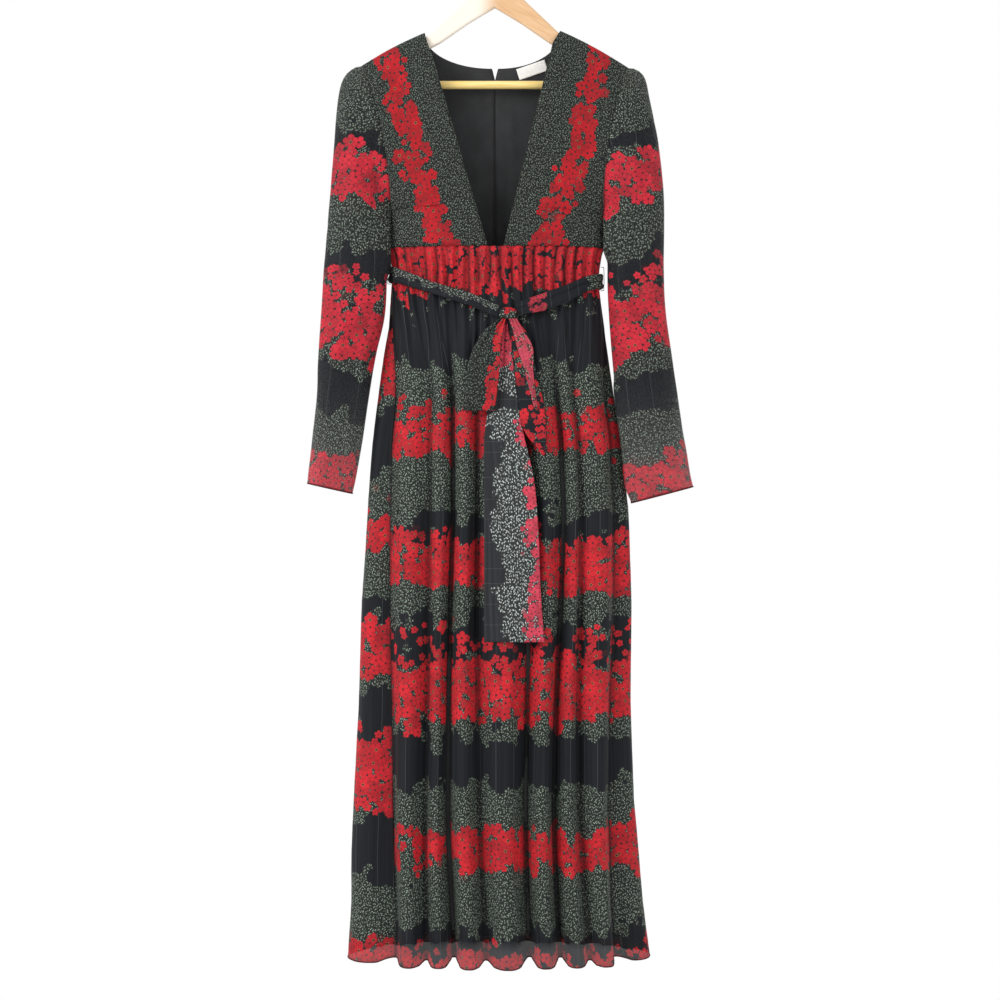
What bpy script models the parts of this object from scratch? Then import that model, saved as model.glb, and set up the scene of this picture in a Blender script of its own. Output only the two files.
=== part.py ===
"""Long-sleeved V-neck maxi dress, hung on a wooden hanger.

Frame: +X is to the right of the dress seen from the front, -Y is its front, +Z is up.
The origin is the inner top of the hanger's hook, where a rail bears.

Sizes here are in millimetres and are turned into metres when a mesh is made.  A point is
(x, y, drop): the drop is its distance below the high point of the left shoulder, so it
grows downwards.  A cloth piece is given by its outer face, a grid of points whose rows run
down the cloth and whose columns run anticlockwise seen from above (left to right on the
front), and its wall grows inwards from there.
"""
import math
from typing import NamedTuple

import bmesh
import bpy
import numpy as np
from mathutils import Matrix, Vector

# ---------------------------------------------------------------- driving sizes, mm
MM = 0.001
SHOULDER_BELOW_RAIL = 136.5     # high point of the shoulder, below the hook's inner top

CHIFFON = 1.3                   # wall of the outer cloth
LINING = 1.0                    # wall of the black lining
SEAM = 0.4                      # gap between two pieces that are sewn together
CLEAR = 0.4                     # gap between two pieces that lie on each other

WAIST_DROP = 320.0              # empire seam
HEM_DROP = 1378.0
HEM_LIFT = 9.0                  # how far the hem rises in the valley of a fold
LINING_HEM_DROP = 1330.0

ARMHOLE_DEPTH = 26.0            # half depth of the armhole, front to back
ARMHOLE_BOW = 14.0              # how far the armhole seam curves in from a straight line
NECK_DEPTH_FRONT = 24.0         # half depth of the bodice under the shoulder, front edge
NECK_DEPTH_BACK = 22.0          # the same at the centre of the back neck
WAIST_DEPTH = 32.0              # half depth of the bodice at the empire seam
OVAL = 2.3                      # exponent of the bodice's and skirt's oval section
SHOULDER_ARCH = 3.0             # rise of the shoulder line at its middle

BACK_NECK_DROP = 44.0
NOTCH_HALF_WIDTH = 5.0
NOTCH_DROP = 62.0               # foot of the notch, where the zip begins
ZIP_HALF_GAP = 0.6
ZIP_END_DROP = 440.0
ZIP_HALF_WIDTH = 7.0
ZIP_TAPE = 0.9
ZIP_CLEAR = 0.55                # between the tape and the cloth that is sewn to it

SUPER = 2.0 / OVAL


class Side(NamedTuple):
    """The outline of one side of the bodice; x is measured outwards from the centre."""
    sign: int
    neck: tuple         # high point of the shoulder, (x, drop)
    tip: tuple          # outer end of the shoulder seam
    underarm: tuple
    waist: float        # x of the side seam at the empire seam
    edge_x: tuple       # front neck edge: x at the drops of edge_drop
    edge_drop: tuple


LEFT = Side(-1, (106.5, -4.5), (201.0, 45.0), (160.5, 264.0), 160.5,
            (106.5, 102.0, 94.5, 11.2), (-4.5, 12.0, 33.0, WAIST_DROP))
RIGHT = Side(1, (99.0, -7.5), (201.0, 48.0), (166.5, 268.5), 163.5,
             (99.0, 87.0, 81.0, 13.3), (-7.5, 13.5, 40.0, WAIST_DROP))


class BodiceRow(NamedTuple):
    """One row of a bodice panel, from its outer edge to its neck or centre edge."""
    arm_turn: float     # degrees round the armhole, 0 at the shoulder, 180 at the underarm
    side_share: float   # share of the side seam below the underarm
    neck_turn: float    # degrees along the back neckline, 90 at the centre back
    back_share: float   # share of the centre back edge below the notch; -1 is the neckline


BODICE_ROWS = (
    BodiceRow(0, 0.0, 0, -1),
    BodiceRow(8, 0.0, 3, -1),
    BodiceRow(18, 0.0, 12, -1),
    BodiceRow(32, 0.0, 26, -1),
    BodiceRow(50, 0.0, 44, -1),
    BodiceRow(70, 0.0, 66, -1),
    BodiceRow(90, 0.0, 90, -1),
    BodiceRow(110, 0.0, 90, 0.0),
    BodiceRow(130, 0.0, 90, 0.2),
    BodiceRow(150, 0.0, 90, 0.42),
    BodiceRow(166, 0.0, 90, 0.6),
    BodiceRow(180, 0.0, 90, 0.76),
    BodiceRow(180, 0.5, 90, 0.88),
    BodiceRow(180, 1.0, 90, 1.0),
)
BODICE_COLUMNS = (0.0, 0.03, 0.1, 0.22, 0.4, 0.6, 0.8, 1.0)


class SkirtLevel(NamedTuple):
    """The skirt's mean outline at one height, and how deep its folds and gathers are."""
    drop: float
    left: float
    right: float
    half_depth: float
    fold: float
    gather: float


SKIRT_LEVELS = (
    SkirtLevel(320, -160.5, 163.5, 32, 0.0, 1.6),
    SkirtLevel(332, -157.5, 160.0, 32.5, 0.0, 2.8),
    SkirtLevel(351, -154.5, 157.0, 33, 0.3, 3.0),
    SkirtLevel(381, -155.5, 157.0, 35, 1.0, 2.8),
    SkirtLevel(441, -159.5, 164.5, 38, 2.5, 1.4),
    SkirtLevel(471, -163.0, 167.5, 39.5, 3.8, 0.6),
    SkirtLevel(530, -169.0, 173.5, 42, 6.0, 0.0),
    SkirtLevel(606, -176.5, 184.5, 45, 8.2, 0.0),
    SkirtLevel(711, -183.0, 194.5, 48, 10.4, 0.0),
    SkirtLevel(846, -191.0, 197.0, 51, 12.4, 0.0),
    SkirtLevel(996, -195.5, 195.5, 54, 13.8, 0.0),
    SkirtLevel(1146, -202.0, 199.0, 57, 15.0, 0.0),
    SkirtLevel(1221, -205.0, 205.0, 58.5, 15.5, 0.0),
    SkirtLevel(1296, -205.0, 211.0, 60, 16.0, 0.0),
    SkirtLevel(1380, -210.0, 221.5, 62, 16.5, 0.0),
)
SKIRT_ROWS = (WAIST_DROP + SEAM / 2, 330, 347, 368, 395, 425, 460, 505, 560, 630, 720, 830,
              950, 1080, 1200, 1300, HEM_DROP)
LINING_ROWS = (WAIST_DROP + SEAM / 2, 331, 360, 400, 460, 560, 700, 880, 1060, 1200,
               LINING_HEM_DROP)


class Fold(NamedTuple):
    """A valley of the skirt and the ridge that follows it, anticlockwise from above."""
    face: str           # which face of the skirt its valley is on
    mid: float          # across the skirt at the thigh, -1 left to 1 right
    hem: float          # the same at the hem
    valley: float       # depth and height as shares of the level's fold size
    ridge: float


FOLDS = (
    Fold("front", -0.88, -0.725, 0.75, 0.85),       # left side seam
    Fold("front", -0.553, -0.49, 0.60, 0.55),
    Fold("front", -0.379, -0.316, 1.00, 0.80),
    Fold("front", -0.165, -0.095, 0.70, 0.95),
    Fold("front", 0.248, 0.223, 1.05, 0.70),
    Fold("front", 0.518, 0.431, 0.95, 0.60),
    Fold("front", 0.66, 0.62, 0.55, 0.85),
    Fold("front", 0.96, 0.826, 0.70, 0.65),         # right side seam
    Fold("back", 0.90, 0.80, 0.85, 0.90),
    Fold("back", 0.62, 0.54, 0.95, 0.70),
    Fold("back", 0.38, 0.31, 0.60, 0.90),
    Fold("back", 0.13, 0.10, 0.90, 0.80),
    Fold("back", -0.12, -0.14, 0.90, 0.75),
    Fold("back", -0.38, -0.40, 1.00, 0.90),
    Fold("back", -0.66, -0.64, 0.70, 0.80),
    Fold("back", -0.90, -0.88, 0.80, 0.70),
)
FRONT_FOLDS = 7
FOLD_PHASES = (0.0, 0.12, 0.28, 0.5, 0.72, 0.88)
FOLD_SHARPNESS = 3.2
STEPS = len(FOLD_PHASES)
FRONT_CELLS = FRONT_FOLDS * STEPS
RING_CELLS = len(FOLDS) * STEPS
BACK_CENTRE = FRONT_CELLS + (RING_CELLS - FRONT_CELLS) // 2
MID_DROP = 606.0
GATHERS_END = (340.0, 560.0)    # between these drops the gathers drift into the folds
SIDE_GATHER = 0.35              # share of the gathers' depth that is left at the sides


class SleeveRing(NamedTuple):
    """One section of a sleeve; x is measured outwards from the dress's centre."""
    outer_x: float
    outer_drop: float
    inner_x: float
    inner_drop: float
    half_depth: float
    bow: float          # how far the section's middle is pulled towards the body
    forward: float      # how far the section hangs in front of the dress's middle plane
    fold: float


LEFT_SLEEVE = (
    SleeveRing(201.6, 45.0, 161.1, 264.0, 26, 14, 0, 0.0),
    SleeveRing(212.0, 49.0, 161.6, 266.0, 27.5, 12.5, 0, 0.0),
    SleeveRing(222.0, 57.0, 162.1, 268.0, 29, 10.5, 0, 0.0),
    SleeveRing(230.0, 71.0, 162.5, 270.0, 31, 8, 0, 0.0),
    SleeveRing(235.0, 94.0, 162.8, 274.0, 33, 6, 0, 0.0),
    SleeveRing(238.5, 130.0, 163.0, 280.0, 35.5, 4, 0, 0.6),
    SleeveRing(241.0, 171.0, 163.0, 290.0, 38, 2, 1, 1.4),
    SleeveRing(244.5, 228.0, 162.8, 308.0, 39, 0, 2, 2.4),
    SleeveRing(249.0, 292.0, 162.6, 336.0, 38.5, 0, 4, 3.0),
    SleeveRing(253.5, 352.0, 162.6, 378.0, 37, 0, 7, 3.2),
    SleeveRing(257.5, 412.0, 166.0, 426.0, 36, 0, 9, 3.0),
    SleeveRing(261.0, 472.0, 178.0, 480.0, 34, 0, 11, 2.6),
    SleeveRing(264.5, 532.0, 188.0, 542.0, 32, 0, 12, 2.2),
    SleeveRing(271.0, 596.0, 197.5, 606.0, 30, 0, 12, 2.0),
    SleeveRing(277.0, 648.0, 207.5, 662.0, 27, 0, 12, 1.8),
    SleeveRing(279.0, 671.0, 212.5, 686.0, 26, 0, 12, 1.6),
)
RIGHT_SLEEVE = (
    SleeveRing(201.6, 48.0, 167.1, 268.5, 26, 14, 0, 0.0),
    SleeveRing(212.0, 50.5, 167.6, 270.5, 27.5, 12.5, 0, 0.0),
    SleeveRing(221.0, 57.0, 168.1, 272.5, 29, 10.5, 0, 0.0),
    SleeveRing(227.0, 69.0, 168.5, 275.0, 31, 8, 0, 0.0),
    SleeveRing(232.0, 94.0, 168.8, 279.0, 33, 6, 0, 0.0),
    SleeveRing(239.0, 128.0, 169.0, 285.0, 35.5, 4, 0, 0.6),
    SleeveRing(246.5, 171.0, 169.0, 295.0, 38, 2, 1, 1.4),
    SleeveRing(251.5, 230.0, 169.0, 312.0, 39, 0, 2, 2.4),
    SleeveRing(252.0, 292.0, 169.0, 340.0, 38.5, 0, 4, 3.0),
    SleeveRing(251.0, 352.0, 169.0, 380.0, 37, 0, 7, 3.2),
    SleeveRing(253.0, 412.0, 171.0, 428.0, 36, 0, 9, 3.0),
    SleeveRing(260.5, 472.0, 175.0, 482.0, 34, 0, 12, 2.6),
    SleeveRing(269.0, 532.0, 181.0, 546.0, 32, 0, 14, 2.2),
    SleeveRing(278.0, 593.0, 190.0, 610.0, 30, 0, 16, 2.0),
    SleeveRing(288.0, 652.0, 196.5, 674.0, 27, 0, 16, 1.8),
    SleeveRing(294.0, 676.0, 203.0, 700.0, 26, 0, 16, 1.6),
)


class BeltStation(NamedTuple):
    """Where the belt lies at one place across the dress."""
    x: float
    drop: float         # of its middle line
    height: float


BELT_FRONT = (
    BeltStation(-157.0, 357, 24), BeltStation(-93.0, 382, 18), BeltStation(-34.0, 401, 20),
    BeltStation(5.0, 419, 19), BeltStation(33.0, 414, 20), BeltStation(67.0, 405, 26),
    BeltStation(104.0, 391, 26), BeltStation(134.0, 375, 23), BeltStation(159.0, 368, 22),
)
BELT_BACK = (
    BeltStation(-157.0, 357, 24), BeltStation(-80.0, 375, 24), BeltStation(0.0, 383, 25),
    BeltStation(80.0, 380, 24), BeltStation(159.0, 368, 22),
)
BELT_CREASES = (0.0, 0.9, -0.3, 0.9, 0.0)
BELT_WALL = 2.0
BELT_CLEAR = 0.8

KNOT_CENTRE = (19.0, 422.0)
KNOT_SIZE = (26.0, 14.0, 18.0)      # across, front to back, high
KNOT_BEVEL = 3.5
BELT_SAG = 3.0                      # how far the belt stands off the skirt beside the knot


class RibbonRow(NamedTuple):
    """One row of a hanging end or loop of the belt."""
    drop: float
    left: float
    right: float
    stand_off: float    # of its outer face, in front of the skirt


LOOP_TOP = KNOT_CENTRE[1] + KNOT_SIZE[2] / 2 + CLEAR
TAIL_LONG = (
    RibbonRow(LOOP_TOP, 9, 28, 4.5), RibbonRow(488, 4, 27, 3.4), RibbonRow(544, -6, 33, 3.4),
    RibbonRow(598, -15, 42, 3.4), RibbonRow(665, -15.7, 57, 3.4), RibbonRow(748, -15.7, 64, 3.4),
    RibbonRow(830, -15.6, 67, 3.4), RibbonRow(903, -15.7, 72, 3.4),
)
TAIL_SHORT = (
    RibbonRow(LOOP_TOP, 17, 31, 8.0), RibbonRow(455, 22, 50, 7.0), RibbonRow(483, 27, 57, 7.0),
    RibbonRow(516, 30, 62, 7.0), RibbonRow(548, 34, 70, 7.0), RibbonRow(597, 44, 75, 7.0),
    RibbonRow(631, 70, 75, 7.0),
)
LOOP_RIGHT = (
    RibbonRow(LOOP_TOP, 20, 31.5, 11.5), RibbonRow(451, 27, 44, 11.0),
    RibbonRow(468, 31, 54, 10.5), RibbonRow(505, 43, 56, 10.0), RibbonRow(563, 57.5, 62, 10.0),
)
LOOP_LEFT = (
    RibbonRow(LOOP_TOP, 6.5, 15.5, 13.0), RibbonRow(446, -14, 12, 13.0),
    RibbonRow(466, -28, 9, 12.5), RibbonRow(511, -42, 6, 12.5), RibbonRow(563, -46.5, 0, 12.5),
)
LOOP_LAYER_GAP = 5.0        # between the outer faces of the loop's two layers
RIBBON_COLUMNS = (0.0, 0.2, 0.4, 0.6, 0.8, 1.0)
RIBBON_WAVE = 0.9

THREAD_RADIUS = 0.6
THREAD_REACH = 5.6
THREAD_LOOPS = (("left", 0.0, 341.0, 372.0), ("right", 1.0, 347.0, 382.0))  # turn, top, foot

LABEL_CENTRE = (56.0, 46.5)
LABEL_SIZE = (45.0, 17.0)
LABEL_TILT = math.radians(18)
LABEL_WALL = 0.8

# hanger
ARM_THICKNESS = 10.0
ARM_BEVEL = 3.0
BAR_SEAT = 180.0                # x where the bar's shoulder meets an arm
ARM_CREST = ((0.0, -82.0), (13.0, -80.0), (25.0, -71.0), (43.0, -54.0), (70.0, -28.5),
             (94.0, -5.5), (106.5, 4.2), (201.0, 54.7), (207.0, 61.0))
ARM_FOOT = ((208.5, 72.0), (206.0, 84.0), (199.0, 89.0), (186.0, 89.0), (BAR_SEAT, 84.0),
            (BAR_SEAT, 64.5), (172.0, 59.0), (150.0, 47.0), (82.0, 11.0), (40.0, -18.0),
            (0.0, -42.0))
BAR_RADIUS = 6.0
BAR_PIN_RADIUS = 3.2
BAR_DROP = 73.5
BAR_HALF_LENGTH = 190.0
BAR_SIDES = 20
HOOK_WIRE = 1.9
HOOK_INNER_RADIUS = 16.0
HOOK_SOCKET = 14.0

# zip slider and its pull tab
SLIDER_DROP = 66.0
SLIDER_SIZE = (6.4, 2.2, 9.0)
CHEEK = (0.9, 2.4, 3.0)
TAB_BARREL_RADIUS = 1.1
TAB_HALF_WIDTH = 1.3
TAB_LENGTH = 18.0
TAB_THICKNESS = 0.9
PIVOT_BELOW_TOP = 2.6


# ---------------------------------------------------------------- small tools
def point(x, y, drop):
    """A place on the dress as a vector in millimetres, +Z up from the rail."""
    return Vector((x, y, -SHOULDER_BELOW_RAIL - drop))


def smooth_share(value, start, end):
    """0 before start, 1 after end, and a smooth step between them."""
    share = min(max((value - start) / (end - start), 0.0), 1.0)
    return share * share * (3.0 - 2.0 * share)


def material(name, color, roughness, metallic=0.0):
    """A Principled material of one colour."""
    shade = bpy.data.materials.new(name)
    shade.use_nodes = True
    principled = shade.node_tree.nodes["Principled BSDF"]
    principled.inputs["Base Color"].default_value = (*color, 1.0)
    principled.inputs["Roughness"].default_value = roughness
    principled.inputs["Metallic"].default_value = metallic
    return shade


def add_object(name, shape, shade, sharp=40.0):
    """Link a bmesh in millimetres to the scene as one named object in metres."""
    bmesh.ops.recalc_face_normals(shape, faces=shape.faces)
    bmesh.ops.transform(shape, matrix=Matrix.Scale(MM, 4), verts=shape.verts)
    mesh = bpy.data.meshes.new(name)
    shape.to_mesh(mesh)
    shape.free()
    mesh.shade_smooth()
    mesh.set_sharp_from_angle(angle=math.radians(sharp))
    thing = bpy.data.objects.new(name, mesh)
    thing.data.materials.append(shade)
    bpy.context.scene.collection.objects.link(thing)
    return thing


# ---------------------------------------------------------------- cloth walls
def inward_normals(face, tube=False):
    """The direction through the cloth at each point of an outer face."""
    rows, columns = len(face), len(face[0])
    normals = []
    for r in range(rows):
        above, below = face[max(r - 1, 0)], face[min(r + 1, rows - 1)]
        line = []
        for c in range(columns):
            if tube:
                before, after = face[r][c - 1], face[r][(c + 1) % columns]
            else:
                before, after = face[r][max(c - 1, 0)], face[r][min(c + 1, columns - 1)]
            line.append((after - before).cross(below[c] - above[c]).normalized())
        normals.append(line)
    return normals


def flatten(normals, axis):
    """Turn a row or column of normals square to an axis, where they aren't along it."""
    for k, normal in enumerate(normals):
        level = normal.copy()
        level[axis] = 0.0
        if level.length > 0.5:
            normals[k] = level.normalized()
    return normals


def flatten_column(normals, column, axis):
    """Turn one column of a grid of normals square to an axis."""
    for line in normals:
        line[column] = flatten([line[column]], axis)[0]


def shifted(face, normals, depth):
    """A copy of a face, moved through the cloth; depth may be a function of (row, column)."""
    move = depth if callable(depth) else (lambda row, column: depth)
    return [[spot + normals[r][c] * move(r, c) for c, spot in enumerate(line)]
            for r, line in enumerate(face)]


def wall(name, face, thickness, shade, tube=False, normals=None):
    """Make one closed cloth wall from its outer face."""
    normals = normals or inward_normals(face, tube)
    rows, columns = len(face), len(face[0])
    shape = bmesh.new()
    outer = [[shape.verts.new(spot) for spot in line] for line in face]
    inner = [[shape.verts.new(spot) for spot in line]
             for line in shifted(face, normals, thickness)]
    spans = [(c, (c + 1) % columns) for c in range(columns if tube else columns - 1)]
    for r in range(rows - 1):
        for c, d in spans:
            shape.faces.new((outer[r][c], outer[r + 1][c], outer[r + 1][d], outer[r][d]))
            shape.faces.new((inner[r][c], inner[r][d], inner[r + 1][d], inner[r + 1][c]))
    for c, d in spans:
        shape.faces.new((outer[0][c], outer[0][d], inner[0][d], inner[0][c]))
        shape.faces.new((outer[-1][c], inner[-1][c], inner[-1][d], outer[-1][d]))
    if not tube:
        for r in range(rows - 1):
            shape.faces.new((outer[r][0], inner[r][0], inner[r + 1][0], outer[r + 1][0]))
            shape.faces.new((outer[r][-1], outer[r + 1][-1], inner[r + 1][-1], inner[r][-1]))
    return add_object(name, shape, shade)


def trim_sides(face, gap):
    """Draw the first and last columns of a face in by half a seam's gap."""
    for line in face:
        first = (line[1] - line[0]).normalized() * gap / 2
        last = (line[-2] - line[-1]).normalized() * gap / 2
        line[0] = line[0] + first
        line[-1] = line[-1] + last
    return face


# ---------------------------------------------------------------- bodice
def armhole(side, turn):
    """A point of the armhole seam, front half for turns under 180 degrees."""
    angle = math.radians(turn)
    share = (1.0 - math.cos(angle)) / 2
    x = side.tip[0] + (side.underarm[0] - side.tip[0]) * share
    x -= ARMHOLE_BOW * abs(math.sin(angle))
    drop = side.tip[1] + (side.underarm[1] - side.tip[1]) * share
    return x, ARMHOLE_DEPTH * math.sin(angle), drop


def outer_edge(side, row):
    """The armhole or side seam end of a bodice row: x, depth and drop."""
    x, depth, drop = armhole(side, row.arm_turn)
    x += (side.waist - side.underarm[0]) * row.side_share
    drop += (WAIST_DROP - SEAM / 2 - side.underarm[1]) * row.side_share
    return x, max(depth, SEAM / 2), drop


def front_edge(side, row):
    """The V neck end of a front row."""
    _, _, drop = outer_edge(side, row)
    share = (drop - side.tip[1]) / (WAIST_DROP - SEAM / 2 - side.tip[1])
    edge_drop = side.neck[1] + (WAIST_DROP - SEAM / 2 - side.neck[1]) * share
    x = float(np.interp(edge_drop, side.edge_drop, side.edge_x))
    depth = NECK_DEPTH_FRONT * math.sin(math.radians(min(row.arm_turn, 90)))
    depth += (WAIST_DEPTH - NECK_DEPTH_FRONT) * share
    return x, max(depth, SEAM / 2), edge_drop


def back_centre_depth(drop):
    """Half depth of the bodice along the centre back."""
    share = (drop - BACK_NECK_DROP) / (WAIST_DROP - BACK_NECK_DROP)
    return NECK_DEPTH_BACK + (WAIST_DEPTH - NECK_DEPTH_BACK) * share


def back_edge(side, row):
    """The neckline, notch or zip end of a back row."""
    if row.back_share < 0:
        turn = math.radians(row.neck_turn)
        x = NOTCH_HALF_WIDTH + (side.neck[0] - NOTCH_HALF_WIDTH) * math.cos(turn)
        drop = side.neck[1] + (BACK_NECK_DROP - side.neck[1]) * math.sin(turn)
        return x, max(NECK_DEPTH_BACK * math.sqrt(math.sin(turn)), SEAM / 2), drop
    drop = NOTCH_DROP + (WAIST_DROP - SEAM / 2 - NOTCH_DROP) * row.back_share
    return ZIP_HALF_GAP, back_centre_depth(drop), drop


def bodice_spot(side, row, across, front):
    """A point of a bodice panel; across runs from its outer edge, 0, to its centre, 1."""
    x0, depth0, drop0 = outer_edge(side, row)
    x1, depth1, drop1 = (front_edge if front else back_edge)(side, row)
    belly = (1.0 - (1.0 - across) ** OVAL) ** (1.0 / OVAL)
    arch = SHOULDER_ARCH * math.sin(math.pi * across) * max(0.0, 1.0 - row.arm_turn / 60.0)
    depth = depth0 + (depth1 - depth0) * belly
    drop = drop0 + (drop1 - drop0) * across - arch
    return point(side.sign * (x0 + (x1 - x0) * across), -depth if front else depth, drop)


def bodice_face(side, front):
    """The outer face of a bodice panel."""
    outward_first = (side is LEFT) == front
    columns = BODICE_COLUMNS if outward_first else BODICE_COLUMNS[::-1]
    return [[bodice_spot(side, row, across, front) for across in columns]
            for row in BODICE_ROWS]


def bodice_normals(face):
    """Normals of a bodice panel, square to the shoulder, side and waist seams."""
    normals = inward_normals(face)
    flatten(normals[0], 1)
    flatten(normals[-1], 2)
    for line, row in zip(normals, BODICE_ROWS):
        for column in (0, -1):
            if row.arm_turn == 180:
                line[column] = flatten([line[column]], 1)[0]
            else:
                line[column] = flatten([line[column]], 0)[0]
    return normals


def lining_inset(row):
    """How far the bodice lining lies inside the outer face, at a row."""
    zip_room = ZIP_CLEAR + ZIP_TAPE + ZIP_CLEAR
    share = smooth_share(BODICE_ROWS[row].arm_turn, 15, 60)
    return CHIFFON + CLEAR + (zip_room - CLEAR) * share


def lining_face(side):
    """The outer face of a bodice back lining, with the outer back's normals."""
    face = bodice_face(side, front=False)
    normals = bodice_normals(face)
    return shifted(face, normals, lambda row, column: lining_inset(row)), normals


def build_bodice(cloth, lining):
    """Fronts, backs and the back lining."""
    for side, word in ((LEFT, "left"), (RIGHT, "right")):
        for front, place in ((True, "front"), (False, "back")):
            face = bodice_face(side, front)
            wall(f"bodice_{place}_{word}", face, CHIFFON, cloth, normals=bodice_normals(face))
        face, normals = lining_face(side)
        wall(f"bodice_lining_{word}", face, LINING, lining, normals=normals)


# ---------------------------------------------------------------- sleeves
def sleeve_turns():
    """Angles of a sleeve's columns, the same as the rows that meet its armhole."""
    front = [row.arm_turn for row in BODICE_ROWS if row.side_share == 0.0]
    return front + [360.0 - turn for turn in reversed(front[1:-1])]


def sleeve_spot(side, ring, turn):
    """A point of a sleeve; turn 0 is its outer edge and 180 its underarm seam."""
    angle = math.radians(turn)
    middle_x = (ring.outer_x + ring.inner_x) / 2
    middle_drop = (ring.outer_drop + ring.inner_drop) / 2
    swell = 1.0 + ring.fold * math.sin(3 * angle) / ring.half_depth
    x = middle_x + (ring.outer_x - middle_x) * math.cos(angle) * swell
    x -= ring.bow * abs(math.sin(angle))
    drop = middle_drop + (ring.outer_drop - middle_drop) * math.cos(angle) * swell
    return point(side.sign * x, -ring.forward - ring.half_depth * math.sin(angle) * swell, drop)


def build_sleeves(cloth):
    """Two open tubes, from the armholes to the cuffs."""
    turns = sleeve_turns()
    for side, word, rings in ((LEFT, "left", LEFT_SLEEVE), (RIGHT, "right", RIGHT_SLEEVE)):
        columns = turns if side is LEFT else [180.0 - turn for turn in turns]
        face = [[sleeve_spot(side, ring, turn) for turn in columns] for ring in rings]
        normals = inward_normals(face, tube=True)
        flatten(normals[0], 0)
        wall(f"sleeve_{word}", face, CHIFFON, cloth, tube=True, normals=normals)


# ---------------------------------------------------------------- skirt
def skirt_level(drop):
    """The skirt's sizes at a drop, read between the rows of its table."""
    drops = [level.drop for level in SKIRT_LEVELS]
    return SkirtLevel(*(float(np.interp(drop, drops, column)) for column in zip(*SKIRT_LEVELS)))


OVAL_ANGLES = np.linspace(0.0, math.pi, 121)


def oval_curve(level):
    """Half of the mean section, left to right: x, depth and share of its length."""
    middle, half = (level.left + level.right) / 2, (level.right - level.left) / 2
    cosine, sine = np.cos(OVAL_ANGLES), np.sin(OVAL_ANGLES)
    x = middle - half * np.sign(cosine) * np.abs(cosine) ** SUPER
    depth = level.half_depth * np.abs(sine) ** SUPER
    length = np.concatenate(([0.0], np.cumsum(np.hypot(np.diff(x), np.diff(depth)))))
    return x, depth, length / length[-1]


def turn_of(level, across, face):
    """The turn at a place across the skirt: 0 to 1 along the front, 1 to 2 along the back."""
    x, _, share = oval_curve(level)
    middle, half = (level.left + level.right) / 2, (level.right - level.left) / 2
    place = float(np.interp(middle + across * half, x, share))
    return place if face == "front" else 2.0 - place


def oval_spot(level, turn):
    """A point of the mean section and its outward direction: x, y, nx, ny."""
    x, depth, share = oval_curve(level)
    turn %= 2.0
    on_front = turn <= 1.0
    place = turn if on_front else 2.0 - turn
    step = 0.004
    low, high = max(place - step, 0.0), min(place + step, 1.0)
    dx = float(np.interp(high, share, x) - np.interp(low, share, x))
    dy = float(np.interp(high, share, depth) - np.interp(low, share, depth))
    if place < step or place > 1.0 - step:
        dx = 0.0 if min(place, 1.0 - place) < 1e-6 else dx
        dy = dy if dx else (1.0 if place < step else -1.0)
    size = math.hypot(dx, dy)
    nx, ny = -dy / size, dx / size
    sign = -1.0 if on_front else 1.0
    return (float(np.interp(place, share, x)), sign * float(np.interp(place, share, depth)),
            nx, sign * ny)


def valley_turn(number, drop, level):
    """Where a valley lies at a drop; the ring closes after the last one."""
    fold = FOLDS[number % len(FOLDS)]
    share = min(max((drop - MID_DROP) / (HEM_DROP - MID_DROP), 0.0), 1.0)
    turn = turn_of(level, fold.mid + (fold.hem - fold.mid) * share, fold.face)
    return turn + 2.0 * (number // len(FOLDS))


def even_turn(column):
    """Where a column lies in the gathers, which are evenly spaced."""
    if column <= FRONT_CELLS:
        return column / FRONT_CELLS
    return 1.0 + (column - FRONT_CELLS) / (RING_CELLS - FRONT_CELLS)


def column_turns(drop):
    """The turns of all the ring's columns at a drop."""
    level = skirt_level(drop)
    valleys = [valley_turn(n, drop, level) for n in range(len(FOLDS) + 1)]
    drift = smooth_share(drop, *GATHERS_END)
    turns = []
    for column in range(RING_CELLS):
        number, step = divmod(column, STEPS)
        fold_turn = valleys[number] + (valleys[number + 1] - valleys[number]) * FOLD_PHASES[step]
        turns.append(even_turn(column) * (1.0 - drift) + fold_turn * drift)
    return turns


def fold_height(column):
    """The height of the folds at a column, as a share of the level's fold size."""
    number, step = divmod(column, STEPS)
    phase = FOLD_PHASES[step]
    fold, following = FOLDS[number], FOLDS[(number + 1) % len(FOLDS)]
    valley = fold.valley if phase < 0.5 else following.valley
    return fold.ridge - (fold.ridge + valley) * abs(math.cos(math.pi * phase)) ** FOLD_SHARPNESS


def gather_share(turn):
    """The gathers' depth round the skirt: full on the front and back, small at the sides."""
    return SIDE_GATHER + (1.0 - SIDE_GATHER) * min(1.0, 2.5 * abs(math.sin(math.pi * turn)))


def gather_height(column, turn):
    """Alternate columns stand out and in; they lie flat along the zip and the side seams."""
    if column in (0, FRONT_CELLS) or abs(column - BACK_CENTRE) <= 1:
        return 0.0
    return (1.0 if column % 2 else -1.0) * gather_share(turn)


def skirt_ring(drop, hem=False):
    """One row of the skirt's outer face, all the way round."""
    ring = []
    for column, turn in enumerate(column_turns(drop)):
        height = fold_height(column)
        own_drop = drop - HEM_LIFT * max(0.0, -height) if hem else drop
        level = skirt_level(own_drop)
        x, y, nx, ny = oval_spot(level, turn)
        out = level.fold * height + level.gather * gather_height(column, turn)
        ring.append(point(x + nx * out, y + ny * out, own_drop))
    return ring


def panel(face, normals, first, last):
    """The columns of a ring from first to last, as a face of their own."""
    pick = [column % RING_CELLS for column in range(first, last + 1)]
    return ([[line[column] for column in pick] for line in face],
            [[line[column] for column in pick] for line in normals])


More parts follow.
